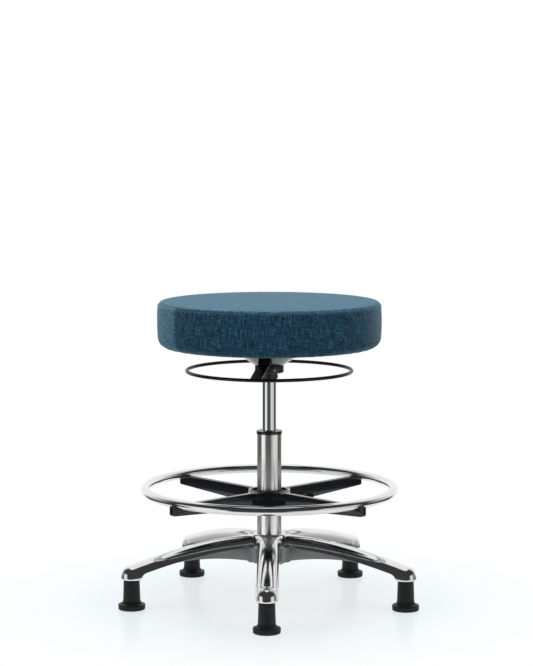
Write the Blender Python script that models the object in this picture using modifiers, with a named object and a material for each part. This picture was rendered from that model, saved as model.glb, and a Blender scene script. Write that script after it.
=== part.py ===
"""Task stool: round padded seat, release ring, gas lift, foot ring and five-leg star base.

Units are metres, +Z is up and the front leg points along -Y.
The origin is on the floor, under the middle of the stool's box. The column
stands a little behind it, because one leg points straight to the front.
"""

import math

import bmesh
import bpy
from mathutils import Matrix

# Fits
GAP = 0.0003
MERGE = 0.00001

# Seat cushion
SEAT_DIAMETER = 0.457
SEAT_HEIGHT = 0.619
SEAT_THICKNESS = 0.094
SEAT_CROWN = 0.007
SEAT_TOP_ROUND = 0.020
SEAT_BOTTOM_ROUND = 0.022
SEAT_SIDE_DRAW = 0.002
COVER_THICKNESS = 0.0015
HEM_WIDTH = 0.035
BOARD_THICKNESS = 0.012
BOARD_EDGE_MARGIN = 0.004
DUST_COVER_THICKNESS = 0.0008
DUST_COVER_OVERLAP = 0.020
DUST_COVER_CLEARANCE = 0.0008

# Seat fixings
SEAT_BOLT_COUNT = 4
SEAT_BOLT_CIRCLE = 0.091
SEAT_BOLT_RADIUS = 0.003
SEAT_BOLT_HEAD_RADIUS = 0.0055
SEAT_BOLT_HEAD_HEIGHT = 0.004
TEE_NUT_FLANGE_RADIUS = 0.0095
TEE_NUT_FLANGE_THICKNESS = 0.0015
TEE_NUT_BARREL_RADIUS = 0.0045
TEE_NUT_LENGTH = 0.010

# Bowl and taper socket under the seat
FLANGE_THICKNESS = 0.003
FLANGE_MARGIN = 0.011
BOWL_SHEET = 0.0025
BOWL_DEPTH = 0.0365
BOWL_RADIUS = 0.080
BOWL_NECK_RADIUS = 0.029
BOWL_SWELL = 0.0015
SOCKET_NECK_RADIUS = 0.0205
SOCKET_HUB_RADIUS = 0.0295
SOCKET_HUB_HEIGHT = 0.0145
SOCKET_COLLAR_RADIUS = 0.0175
SOCKET_COLLAR_HEIGHT = 0.0125
SOCKET_SCREW_RADIUS = 0.0028
SOCKET_SCREW_LENGTH = 0.007
SOCKET_SCREW_STANDOUT = 0.0012
SOCKET_SCREW_AZIMUTH = math.radians(-68.0)

# Release ring and strap
RELEASE_RING_RADIUS = 0.168
RELEASE_WIRE_RADIUS = 0.0035
RELEASE_RING_DROP = 0.011
RELEASE_LIFT = math.radians(4.0)
STRAP_AZIMUTH = math.radians(-98.7)
STRAP_WIDTH = 0.023
STRAP_THICKNESS = 0.003
STRAP_CLEARANCE = 0.015
STRAP_FLAT_MARGIN = 0.004
STRAP_STEP_RUN = 0.006
STRAP_STEP_DROP = 0.012
SLOT_SIDE_CLEARANCE = 0.0015
SLOT_END_CLEARANCE = 0.001

# Gas cylinder
CYLINDER_RADIUS = 0.014
CYLINDER_WALL = 0.0025
CYLINDER_LENGTH = 0.2865
CYLINDER_TAPER = 0.0008
CYLINDER_STANDOUT = 0.005
CYLINDER_LIP = 0.002
CYLINDER_MOUTH = 0.002
VALVE_BODY_LENGTH = 0.045
VALVE_PIN_RADIUS = 0.0025
VALVE_PIN_HEAD_RADIUS = 0.004
VALVE_PIN_HEAD_HEIGHT = 0.004
VALVE_PIN_LENGTH = 0.038
GUIDE_LENGTH = 0.015
ROD_SEAL_LENGTH = 0.005
ROD_RADIUS = 0.005
ROD_END_RADIUS = 0.004
ROD_END_STANDOUT = 0.002
PISTON_STANDOFF = 0.082
PISTON_LENGTH = 0.012
PISTON_SEAL_HEIGHT = 0.004
PISTON_SEAL_DEPTH = 0.002

# Column
COLUMN_RADIUS = 0.025
COLUMN_WALL = 0.0025
COLUMN_HEIGHT = 0.348
COLUMN_TAPER = 0.0008
COLUMN_STANDOUT = 0.004
COLUMN_TAPER_LEAD = 0.003
COLUMN_FLOOR_THICKNESS = 0.003
COLLAR_WALL = 0.0011
COLLAR_HEIGHT = 0.012
COLLAR_TOP_THICKNESS = 0.0047
BUSHING_LENGTH = 0.078
WASHER_RADIUS = 0.014
WASHER_THICKNESS = 0.0015
BEARING_CAGE_THICKNESS = 0.003
BUMP_STOP_RADIUS = 0.012
BUMP_STOP_HEIGHT = 0.020
CLIP_RADIUS = 0.008
CLIP_THICKNESS = 0.0012
CLIP_GROOVE_DEPTH = 0.001

# Star base
LEG_COUNT = 5
STEM_CIRCLE = 0.291
HUB_RADIUS = 0.034
HUB_TOP = 0.140
HUB_HEIGHT = 0.062
HUB_EDGE = 0.003
LEG_ROOT_INSET = 0.005
LEG_ROOT_HALF_WIDTH = 0.0245
LEG_TIP_HALF_WIDTH = 0.0225
LEG_CREST_SETBACK = 0.001
LEG_CREST_DROP = 0.0485
LEG_CREST_CURVE = 1.8
LEG_SHELL_DEPTH = 0.0225
LEG_SECTION_POWER = 2.6
SKIRT_DEPTH = 0.031
SKIRT_CURVE = 1.3
SKIRT_REACH = 0.206
SKIRT_RECESS = 0.004
LEG_LIP = 0.0005
ARCH_RUN = 0.016
BOSS_HALF_LENGTH = 0.015
NOSE_POWER = 2.5
CROTCH_FILLET = 0.012
WEB_TOP_DROP = 0.016
WEB_BOTTOM_RISE = 0.012
CAVITY_WALL = 0.004
CAVITY_ROOF = 0.005
CAVITY_START = 0.052
CAVITY_BAYS = 2
CAVITY_RIB = 0.004

# Glides
GLIDE_HEIGHT = 0.062
GLIDE_RADIUS = 0.0275
GLIDE_NECK_TOP_RADIUS = 0.0155
GLIDE_NECK_FOOT_RADIUS = 0.0175
GLIDE_SHOULDER = 0.002
GLIDE_FLARE_TOP = 0.021
GLIDE_RIM_TOP = 0.0105
SOLE_THICKNESS = 0.006
SOLE_INSET = 0.0004
SOLE_EDGE = 0.0015
SOLE_SPIGOT_RADIUS = 0.014
SOLE_SPIGOT_HEIGHT = 0.005
STEM_RADIUS = 0.0055
STEM_CHAMFER = 0.001
STEM_COLLAR_RADIUS = 0.010
STEM_COLLAR_THICKNESS = 0.0015
STEM_IN_LEG = 0.020
STEM_IN_GLIDE = 0.034

# Foot ring and spider
FOOT_RING_HEIGHT = 0.232
FOOT_RING_RADIUS = 0.254
FOOT_TUBE_RADIUS = 0.0095
FOOT_TUBE_WALL = 0.0016
ARM_COUNT = 4
ARM_TOP_DROP = 0.003
ARM_WIDTH = 0.0135
ARM_ROOT_DEPTH = 0.033
ARM_TIP_DEPTH = 0.020
ARM_TIP_ROUND = 0.004
ARM_LIP = 0.004
ARM_WALL = 0.003
ARM_EDGE = 0.001
ARM_CHANNEL_INSET = 0.003
ARM_CHANNEL_END = 0.008
SPIDER_HUB_HALF_WIDTH = 0.043
SPIDER_HUB_HEIGHT = 0.0345
SPIDER_HUB_SINK = 0.0005
SPIDER_RIM_WIDTH = 0.0067
SPIDER_RIM_HEIGHT = 0.001
BUSH_WALL = 0.0095
BUSH_SINK = 0.0015
BUSH_FLANGE_WIDTH = 0.005
BUSH_FLANGE_THICKNESS = 0.003
BUSH_SLIT = 0.002
RING_SCREW_RADIUS = 0.0022
RING_SCREW_HEAD_RADIUS = 0.0042
RING_SCREW_HEAD_HEIGHT = 0.003
RING_SCREW_BITE = 0.003

# Clamp knob
KNOB_STANDOFF = 0.072
KNOB_LENGTH = 0.019
KNOB_RADIUS = 0.015
KNOB_EDGE = 0.0015
KNOB_FLUTES = 10
KNOB_FLUTE_DEPTH = 0.0014
KNOB_CAP = 0.006
CLAMP_SCREW_RADIUS = 0.004
CLAMP_SCREW_CLEARANCE = 0.0006
CLAMP_PAD_THICKNESS = 0.0015

# Facets round each kind of piece
SEAT_STEPS = 36
RING_STEPS = 40
TUBE_STEPS = 10
TUBE_BORE_STEPS = 6
WIRE_STEPS = 8
COLUMN_STEPS = 28
GLIDE_STEPS = 12
SMALL_STEPS = 8
KNOB_FLUTE_STEPS = 4
BOWL_STEPS = 4
ROUND_STEPS = 3
CROWN_STEPS = 3
TOP_EDGE_STEPS = 4
SIDE_STEPS = 4
LEG_CROWN_STEPS = 4
LEG_INNER_STEPS = 5
LEG_OUTER_STEPS = 2
NOSE_DEGREES = (0.0, 32.0, 58.0, 76.0, 86.0)
FILLET_STEPS = 5

# Cutters run this far past what they cut
REACH_PAST = 0.010

# Heights and radii that follow from the sizes above
SEAT_RADIUS = SEAT_DIAMETER / 2
SEAT_BOTTOM = SEAT_HEIGHT - SEAT_THICKNESS
BOARD_BOTTOM = SEAT_BOTTOM + COVER_THICKNESS + GAP
BOARD_TOP = BOARD_BOTTOM + BOARD_THICKNESS
BOARD_RADIUS = SEAT_RADIUS - SEAT_SIDE_DRAW - SEAT_BOTTOM_ROUND - BOARD_EDGE_MARGIN
HEM_RADIUS = BOARD_RADIUS - HEM_WIDTH
FLANGE_RADIUS = SEAT_BOLT_CIRCLE + FLANGE_MARGIN
FLANGE_TOP = BOARD_BOTTOM - GAP
FLANGE_BOTTOM = FLANGE_TOP - FLANGE_THICKNESS
BOWL_BOTTOM = FLANGE_BOTTOM - BOWL_DEPTH
SOCKET_TOP = BOWL_BOTTOM + BOWL_SHEET
SOCKET_HUB_TOP = BOWL_BOTTOM - GAP
SOCKET_HUB_BOTTOM = SOCKET_HUB_TOP - SOCKET_HUB_HEIGHT
SOCKET_BOTTOM = SOCKET_HUB_BOTTOM - SOCKET_COLLAR_HEIGHT
CYLINDER_TOP = SOCKET_TOP + CYLINDER_STANDOUT
CYLINDER_BOTTOM = CYLINDER_TOP - CYLINDER_LENGTH
CYLINDER_BORE = CYLINDER_RADIUS - CYLINDER_WALL
STRAP_BOTTOM = SOCKET_TOP + STRAP_CLEARANCE
STRAP_TOP = STRAP_BOTTOM + STRAP_THICKNESS
SLOT_TOP = STRAP_TOP + GAP
RELEASE_RING_HEIGHT = BOWL_BOTTOM - RELEASE_RING_DROP
HUB_BOTTOM = HUB_TOP - HUB_HEIGHT
COLUMN_BOTTOM = HUB_BOTTOM - COLUMN_STANDOUT
COLUMN_BORE = COLUMN_RADIUS - COLUMN_WALL
COLUMN_TAPER_TOP = HUB_TOP + COLUMN_TAPER_LEAD
COLUMN_FLOOR = COLUMN_BOTTOM + COLUMN_FLOOR_THICKNESS
LOWER_WASHER = COLUMN_FLOOR + GAP
BEARING_CAGE = LOWER_WASHER + WASHER_THICKNESS + GAP
UPPER_WASHER = BEARING_CAGE + BEARING_CAGE_THICKNESS + GAP
ROD_SHOULDER = UPPER_WASHER + WASHER_THICKNESS + GAP
CLIP_TOP = COLUMN_BOTTOM - GAP
PISTON_BOTTOM = CYLINDER_BOTTOM + PISTON_STANDOFF
LEG_CREST = HUB_TOP - LEG_CREST_SETBACK
ARM_TOP = FOOT_RING_HEIGHT - ARM_TOP_DROP
ARM_REACH = FOOT_RING_RADIUS + FOOT_TUBE_RADIUS + GAP + ARM_LIP
SPIDER_TOP = ARM_TOP - SPIDER_HUB_SINK
SPIDER_BOTTOM = SPIDER_TOP - SPIDER_HUB_HEIGHT
BUSH_BORE = COLUMN_RADIUS + GAP
BUSH_RADIUS = BUSH_BORE + BUSH_WALL
SPIDER_BORE = BUSH_RADIUS + GAP
KNOB_HEIGHT = SPIDER_BOTTOM + SPIDER_HUB_HEIGHT / 2

# The middle of the stool's box lies in front of the column
FRONT_REACH = STEM_CIRCLE + max(GLIDE_RADIUS, LEG_TIP_HALF_WIDTH)
BACK_LEGS_REACH = STEM_CIRCLE * math.cos(math.pi / LEG_COUNT) + GLIDE_RADIUS
BACK_REACH = max(BACK_LEGS_REACH, FOOT_RING_RADIUS + FOOT_TUBE_RADIUS)
AXIS_Y = (FRONT_REACH - BACK_REACH) / 2


def clear_scene():
    """Remove every object that the scene starts with."""
    for obj in list(bpy.data.objects):
        bpy.data.objects.remove(obj, do_unlink=True)


def new_collection(name):
    """Add an empty collection to the scene."""
    collection = bpy.data.collections.new(name)
    bpy.context.scene.collection.children.link(collection)
    return collection


def finish(name, colour, roughness, metallic):
    """Make one Principled material."""
    material = bpy.data.materials.new(name)
    material.use_nodes = True
    shader = material.node_tree.nodes["Principled BSDF"]
    shader.inputs["Base Color"].default_value = (*colour, 1.0)
    shader.inputs["Roughness"].default_value = roughness
    shader.inputs["Metallic"].default_value = metallic
    return material


clear_scene()
PARTS = new_collection("task_stool")
CUTTERS = new_collection("cutters")
TWEED = finish("blue_tweed", (0.055, 0.105, 0.145), 0.95, 0.0)
FOAM = finish("foam", (0.75, 0.68, 0.48), 0.95, 0.0)
PLYWOOD = finish("plywood", (0.60, 0.44, 0.27), 0.75, 0.0)
BLACK_CLOTH = finish("black_cloth", (0.02, 0.02, 0.022), 0.95, 0.0)
ZINC = finish("zinc_plate", (0.62, 0.63, 0.64), 0.35, 1.0)
BRIGHT_STEEL = finish("bright_steel", (0.72, 0.73, 0.74), 0.16, 1.0)
BLACK_PAINT = finish("black_paint", (0.015, 0.015, 0.016), 0.35, 0.0)
CHROME = finish("chrome", (0.80, 0.80, 0.81), 0.05, 1.0)
POLISHED_CAST = finish("polished_casting", (0.78, 0.78, 0.79), 0.09, 1.0)
BLACK_PLASTIC = finish("black_plastic", (0.018, 0.019, 0.022), 0.5, 0.0)
BLACK_NYLON = finish("black_nylon", (0.012, 0.012, 0.013), 0.25, 0.0)
RUBBER = finish("black_rubber", (0.02, 0.02, 0.02), 0.85, 0.0)
WHITE_NYLON = finish("white_nylon", (0.75, 0.74, 0.70), 0.5, 0.0)


def joint_empty(name, parent, location, rotation=(0.0, 0.0, 0.0)):
    """Add an empty that stands on a joint's axis and carries the pieces that move on it."""
    empty = bpy.data.objects.new(name, None)
    PARTS.objects.link(empty)
    empty.parent = parent
    empty.location = location
    empty.rotation_euler = rotation
    return empty


STOOL_AXIS = joint_empty("stool_axis", None, (0.0, AXIS_Y, 0.0))


def add_part(name, mesh, material, parent):
    """Add one piece of the stool under an empty."""
    obj = bpy.data.objects.new(name, mesh)
    PARTS.objects.link(obj)
    mesh.materials.append(material)
    obj.parent = parent
    return obj


def add_cutter(name, mesh, parent, collection):
    """Add a guide that is joined to a piece or cut out of it."""
    obj = bpy.data.objects.new(name, mesh)
    collection.objects.link(obj)
    obj.parent = parent
    obj.hide_render = True
    obj.display_type = 'WIRE'
    return obj


def cutter_set(name):
    """Add a collection of guides that one Boolean reads together."""
    collection = bpy.data.collections.new(name)
    CUTTERS.children.link(collection)
    return collection


def combine(obj, operation, collection):
    """Join every guide of a collection to a piece, or cut it out."""
    boolean = obj.modifiers.new(collection.name, 'BOOLEAN')
    boolean.operation = operation
    boolean.operand_type = 'COLLECTION'
    boolean.collection = collection
    boolean.solver = 'EXACT'


def profile_mesh(name, profile, closed):
    """Make the edges of a half profile of (radius, height) points at +X."""
    mesh = bpy.data.meshes.new(name)
    edges = [(i, i + 1) for i in range(len(profile) - 1)]
    if closed:
        edges.append((len(profile) - 1, 0))
    mesh.from_pydata([(radius, 0.0, height) for radius, height in profile], edges, [])
    return mesh


def turn(obj, steps):
    """Sweep a profile once round Z."""
    screw = obj.modifiers.new("turn", 'SCREW')
    screw.axis = 'Z'
    screw.angle = 2 * math.pi
    screw.steps = steps
    screw.render_steps = steps
    screw.use_merge_vertices = True
    screw.merge_threshold = MERGE
    screw.use_smooth_shade = True


def turned(name, profile, steps, material, parent, closed=False):
    """Make a turned piece. A closed profile is a ring, an open one starts and ends on the axis."""
    obj = add_part(name, profile_mesh(name, profile, closed), material, parent)
    turn(obj, steps)
    return obj


def turned_cutter(name, profile, steps, parent, collection):
    """Make a turned guide from a profile that starts and ends on the axis."""
    obj = add_cutter(name, profile_mesh(name, profile, False), parent, collection)
    turn(obj, steps)
    return obj


def rod_profile(radius, bottom, top):
    """Half profile of a plain cylinder."""
    return [(0.0, top), (radius, top), (radius, bottom), (0.0, bottom)]


def ring_profile(inner, outer, bottom, top):
    """Half profile of a plain ring."""
    return [(outer, top), (outer, bottom), (inner, bottom), (inner, top)]


def arc(centre_x, centre_y, radius_x, radius_y, start, end, count):
    """Points along an arc, both ends included, with angles in degrees."""
    points = []
    for i in range(count + 1):
        angle = math.radians(start + (end - start) * i / count)
        points.append((centre_x + radius_x * math.cos(angle), centre_y + radius_y * math.sin(angle)))
    return points


def plate_mesh(name, outline, thickness):
    """Fill a flat outline and give it a thickness, centred on the XY plane."""
    curve = bpy.data.curves.new(name, 'CURVE')
    curve.dimensions = '2D'
    curve.fill_mode = 'BOTH'
    curve.extrude = thickness / 2
    spline = curve.splines.new('POLY')
    spline.points.add(len(outline) - 1)
    for point, (x, y) in zip(spline.points, outline):
        point.co = (x, y, 0.0, 1.0)
    spline.use_cyclic_u = True
    guide = bpy.data.objects.new(name, curve)
    bpy.context.scene.collection.objects.link(guide)
    graph = bpy.context.evaluated_depsgraph_get()
    mesh = bpy.data.meshes.new_from_object(guide.evaluated_get(graph))
    bpy.data.objects.remove(guide, do_unlink=True)
    shape = bmesh.new()
    shape.from_mesh(mesh)
    bmesh.ops.remove_doubles(shape, verts=shape.verts, dist=MERGE)
    bmesh.ops.recalc_face_normals(shape, faces=shape.faces)
    shape.to_mesh(mesh)
    shape.free()
    return mesh


def upright_plate_mesh(name, outline, thickness):
    """Make a plate whose outline stands in the XZ plane."""
    mesh = plate_mesh(name, outline, thickness)
    mesh.transform(Matrix.Rotation(math.pi / 2, 4, 'X'))
    return mesh


def box_mesh(name, low, high):
    """Make a box between two corners."""
    shape = bmesh.new()
    bmesh.ops.create_cube(shape, size=1.0)
    size = [high[i] - low[i] for i in range(3)]
    middle = [(high[i] + low[i]) / 2 for i in range(3)]
    bmesh.ops.scale(shape, vec=size, verts=shape.verts)
    bmesh.ops.translate(shape, vec=middle, verts=shape.verts)
    mesh = bpy.data.meshes.new(name)
    shape.to_mesh(mesh)
    shape.free()
    return mesh


def torus_mesh(name, ring_radius, tube_radius, ring_steps, tube_steps):
    """Make a round ring in the XY plane."""
    bpy.ops.mesh.primitive_torus_add(
        major_radius=ring_radius,
        minor_radius=tube_radius,
        major_segments=ring_steps,
        minor_segments=tube_steps,
    )
    made = bpy.context.object
    mesh = made.data
    mesh.name = name
    mesh.shade_smooth()
    bpy.data.objects.remove(made, do_unlink=True)
    return mesh


def loft_mesh(name, sections):
    """Skin a row of sections with equal point counts and cap both ends."""
    shape = bmesh.new()
    rings = [[shape.verts.new(point) for point in section] for section in sections]
    for ring, following in zip(rings, rings[1:]):
        for i in range(len(ring)):
            j = (i + 1) % len(ring)
            shape.faces.new((ring[i], ring[j], following[j], following[i]))
    shape.faces.new(rings[0])
    shape.faces.new(list(reversed(rings[-1])))
    bmesh.ops.recalc_face_normals(shape, faces=shape.faces)
    mesh = bpy.data.meshes.new(name)
    shape.to_mesh(mesh)
    shape.free()
    return mesh


def soften(obj, width):
    """Round the sharp edges of a piece a little."""
    bevel = obj.modifiers.new("edges", 'BEVEL')
    bevel.width = width
    bevel.segments = 1
    bevel.limit_method = 'ANGLE'
    bevel.angle_limit = math.radians(40.0)


def around(count, start=0.0):
    """Angles of a pattern round the column, in radians."""
    return [start + 2 * math.pi * k / count for k in range(count)]


def on_circle(radius, angle, height=0.0):
    """A point on a circle round the Z axis."""
    return (radius * math.cos(angle), radius * math.sin(angle), height)


LEG_ANGLES = around(LEG_COUNT, -math.pi / 2)
ARM_ANGLES = around(ARM_COUNT, math.pi / ARM_COUNT)
BOLT_ANGLES = around(SEAT_BOLT_COUNT, math.pi / SEAT_BOLT_COUNT)


# Star base
def leg_share(radius):
    """How far out along the leg a radius lies: 0 at the hub, 1 at the stem."""
    return (radius - HUB_RADIUS) / (STEM_CIRCLE - HUB_RADIUS)


def leg_crest(radius):
    """Height of the leg's ridge."""
    return LEG_CREST - LEG_CREST_DROP * max(0.0, leg_share(radius)) ** LEG_CREST_CURVE


def leg_half_width(radius):
    """Half the leg's width."""
    return LEG_ROOT_HALF_WIDTH + (LEG_TIP_HALF_WIDTH - LEG_ROOT_HALF_WIDTH) * leg_share(radius)


def skirt_bottom(radius):
    """Height of the underside of the plain skirt below the polished shell."""
    share = max(0.0, 1.0 - leg_share(radius) / leg_share(SKIRT_REACH))
    return leg_crest(radius) - LEG_SHELL_DEPTH - LEG_LIP - SKIRT_DEPTH * share ** SKIRT_CURVE


def leg_section(radius, half_width, crest, shell_bottom, bottom, recess):
    """One closed section across a leg: a crowned shell with a narrower skirt below it."""
    power = 2 / LEG_SECTION_POWER
    side = []
    for i in range(LEG_CROWN_STEPS + 1):
        angle = math.pi / 2 * i / LEG_CROWN_STEPS
        across = half_width * math.sin(angle) ** power
        height = shell_bottom + (crest - shell_bottom) * max(0.0, math.cos(angle)) ** power
        side.append((across, height))
    side += [(half_width - recess, shell_bottom), (half_width - recess, bottom)]
    left = [(radius, -across, height) for across, height in reversed(side[1:])]
    return [(radius, across, height) for across, height in side] + left


def leg_sections():
    """Sections from the hub out to the rounded nose over the stem."""
    arch_end = STEM_CIRCLE - BOSS_HALF_LENGTH
    arch_start = arch_end - ARCH_RUN
    boss_bottom = GLIDE_HEIGHT + LEG_LIP
    sections = []
    root = HUB_RADIUS - LEG_ROOT_INSET
    radii = [root + (SKIRT_REACH - root) * i / LEG_INNER_STEPS for i in range(LEG_INNER_STEPS + 1)]
    run = arch_start - SKIRT_REACH
    radii += [SKIRT_REACH + run * (i + 1) / LEG_OUTER_STEPS for i in range(LEG_OUTER_STEPS)]
    for radius in radii:
        crest = leg_crest(radius)
        shell_bottom = crest - LEG_SHELL_DEPTH
        row = (radius, leg_half_width(radius), crest, shell_bottom, skirt_bottom(radius), SKIRT_RECESS)
        sections.append(leg_section(*row))
    arch_top = leg_crest(arch_start) - LEG_SHELL_DEPTH
    for i in range(1, ROUND_STEPS + 1):
        angle = math.pi / 2 * i / ROUND_STEPS
        radius = arch_start + ARCH_RUN * math.sin(angle)
        shell_bottom = boss_bottom + (arch_top - boss_bottom) * math.cos(angle)
        recess = SKIRT_RECESS + (LEG_LIP - SKIRT_RECESS) * i / ROUND_STEPS
        half_width = leg_half_width(radius)
        row = (radius, half_width, leg_crest(radius), shell_bottom, shell_bottom - LEG_LIP, recess)
        sections.append(leg_section(*row))
    rise = leg_crest(STEM_CIRCLE) - boss_bottom
    for degrees in NOSE_DEGREES:
        run = math.sin(math.radians(degrees))
        half_width = LEG_TIP_HALF_WIDTH * math.cos(math.radians(degrees))
        crest = boss_bottom + rise * (1.0 - run ** NOSE_POWER) ** (1 / NOSE_POWER)
        radius = STEM_CIRCLE + LEG_TIP_HALF_WIDTH * run
        sections.append(leg_section(radius, half_width, crest, boss_bottom, GLIDE_HEIGHT, LEG_LIP))
    return sections


def cavity_meshes():
    """The hollows under one leg, with a cross rib between each two."""
    end = STEM_CIRCLE - BOSS_HALF_LENGTH - ARCH_RUN - CAVITY_WALL
    bay = (end - CAVITY_START + CAVITY_RIB) / CAVITY_BAYS
    below = GLIDE_HEIGHT - REACH_PAST
    meshes = []
    for k in range(CAVITY_BAYS):
        start = CAVITY_START + bay * k
        sections = []
        for radius in (start, start + (bay - CAVITY_RIB) / 2, start + bay - CAVITY_RIB):
            half = leg_half_width(radius) - SKIRT_RECESS - CAVITY_WALL
            roof = leg_crest(radius) - CAVITY_ROOF
            eaves = roof - CAVITY_WALL
            points = [(half, below), (half, eaves), (0.0, roof), (-half, eaves), (-half, below)]
            sections.append([(radius, across, height) for across, height in points])
        meshes.append(loft_mesh(f"leg_cavity_{k + 1}", sections))
    return meshes


def web_outline():
    """Plan of the hub with a concave fillet between each two legs."""
    half = math.pi / LEG_COUNT
    centre = (LEG_ROOT_HALF_WIDTH + CROTCH_FILLET) / math.sin(half)
    points = []
    for angle in LEG_ANGLES:
        middle = angle + half
        x, y, _ = on_circle(centre, middle)
        sweep = math.degrees(math.pi / 2 - half)
        back = math.degrees(middle) + 180.0
        points += arc(x, y, CROTCH_FILLET, CROTCH_FILLET, back + sweep, back - sweep, FILLET_STEPS)
    return points


def build_star_base():
    """The five-leg casting with its taper bore, stem sockets and hollow legs."""
    joined = cutter_set("star_joined")
    hollows = cutter_set("star_hollows")
    hub = [
        (0.0, HUB_TOP),
        (HUB_RADIUS - HUB_EDGE, HUB_TOP),
        (HUB_RADIUS, HUB_TOP - HUB_EDGE),
        (HUB_RADIUS, HUB_BOTTOM + HUB_EDGE),
        (HUB_RADIUS - HUB_EDGE, HUB_BOTTOM),
        (0.0, HUB_BOTTOM),
    ]
    base = turned("star_base", hub, COLUMN_STEPS, POLISHED_CAST, STOOL_AXIS)
    # Half a facet round, so that no edge of the hub runs into an edge of the bore
    base.rotation_euler.z = math.pi / COLUMN_STEPS
    web_top = LEG_CREST - WEB_TOP_DROP
    web_bottom = skirt_bottom(HUB_RADIUS) + WEB_BOTTOM_RISE
    web = plate_mesh("hub_web", web_outline(), web_top - web_bottom)
    web = add_cutter("hub_web", web, STOOL_AXIS, joined)
    web.location.z = (web_top + web_bottom) / 2
    leg = loft_mesh("leg", leg_sections())
    cavities = cavity_meshes()
    socket_top = GLIDE_HEIGHT + STEM_IN_LEG + GAP
    socket = rod_profile(STEM_RADIUS + GAP, GLIDE_HEIGHT - REACH_PAST, socket_top)
    for k, angle in enumerate(LEG_ANGLES):
        add_cutter(f"leg_{k + 1}", leg, STOOL_AXIS, joined).rotation_euler.z = angle
        for mesh in cavities:
            add_cutter(f"{mesh.name}_of_leg_{k + 1}", mesh, STOOL_AXIS, hollows).rotation_euler.z = angle
        hole = turned_cutter(f"stem_socket_{k + 1}", socket, SMALL_STEPS, STOOL_AXIS, hollows)
        hole.location = on_circle(STEM_CIRCLE, angle)
    bore = [
        (0.0, HUB_TOP + REACH_PAST),
        (COLUMN_RADIUS + GAP, HUB_TOP + REACH_PAST),
        (COLUMN_RADIUS + GAP, COLUMN_TAPER_TOP),
        (COLUMN_RADIUS - COLUMN_TAPER + GAP, COLUMN_BOTTOM),
        (0.0, COLUMN_BOTTOM),
    ]
    turned_cutter("taper_bore", bore, COLUMN_STEPS, STOOL_AXIS, hollows)
    combine(base, 'UNION', joined)
    combine(base, 'DIFFERENCE', hollows)


# Glides
def glide_bell_profile():
    """Black bell with a stem hole above and a spigot hole below."""
    top = GLIDE_HEIGHT - STEM_COLLAR_THICKNESS - 2 * GAP
    hole = STEM_RADIUS + GAP
    spigot = SOLE_SPIGOT_RADIUS + GAP
    spigot_top = SOLE_THICKNESS + SOLE_SPIGOT_HEIGHT + GAP
    flare = arc(
        GLIDE_RADIUS,
        GLIDE_FLARE_TOP,
        GLIDE_RADIUS - GLIDE_NECK_FOOT_RADIUS,
        GLIDE_FLARE_TOP - GLIDE_RIM_TOP,
        180.0,
        270.0,
        ROUND_STEPS,
    )
    outside = [(GLIDE_NECK_TOP_RADIUS - GLIDE_SHOULDER, top), (GLIDE_NECK_TOP_RADIUS, top - GLIDE_SHOULDER)]
    outside += flare
    bottom = SOLE_THICKNESS + GAP
    hole_bottom = top - STEM_IN_GLIDE
    inside = [(GLIDE_RADIUS, bottom), (spigot, bottom), (spigot, spigot_top), (0.0, spigot_top)]
    return [(0.0, hole_bottom), (hole, hole_bottom), (hole, top)] + outside + inside


def glide_sole_profile():
    """Wear sole that is plugged into the bell from below."""
    rim = GLIDE_RADIUS - SOLE_INSET
    spigot_top = SOLE_THICKNESS + SOLE_SPIGOT_HEIGHT
    return [
        (0.0, spigot_top),
        (SOLE_SPIGOT_RADIUS, spigot_top),
        (SOLE_SPIGOT_RADIUS, SOLE_THICKNESS),
        (rim, SOLE_THICKNESS),
        (rim, SOLE_EDGE),
        (rim - SOLE_EDGE, 0.0),
        (0.0, 0.0),
    ]


def glide_stem_profile():
    """Steel stem with a stop collar between leg and bell."""
    top = GLIDE_HEIGHT + STEM_IN_LEG
    collar_top = GLIDE_HEIGHT - GAP
    collar_bottom = collar_top - STEM_COLLAR_THICKNESS
    bottom = collar_bottom - STEM_IN_GLIDE
    return [
        (0.0, top),
        (STEM_RADIUS - STEM_CHAMFER, top),
        (STEM_RADIUS, top - STEM_CHAMFER),
        (STEM_RADIUS, collar_top),
        (STEM_COLLAR_RADIUS, collar_top),
        (STEM_COLLAR_RADIUS, collar_bottom),
        (STEM_RADIUS, collar_bottom),
        (STEM_RADIUS, bottom),
        (0.0, bottom),
    ]


def build_glides():
    """A bell, a sole and a stem under each leg."""
    for k, angle in enumerate(LEG_ANGLES):
        place = on_circle(STEM_CIRCLE, angle)
        bell = turned(f"glide_bell_{k + 1}", glide_bell_profile(), GLIDE_STEPS, BLACK_PLASTIC, STOOL_AXIS)
        sole = turned(f"glide_sole_{k + 1}", glide_sole_profile(), GLIDE_STEPS, RUBBER, STOOL_AXIS)
        stem = turned(f"glide_stem_{k + 1}", glide_stem_profile(), SMALL_STEPS, ZINC, STOOL_AXIS)
        for piece in (bell, sole, stem):
            piece.location = place


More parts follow.
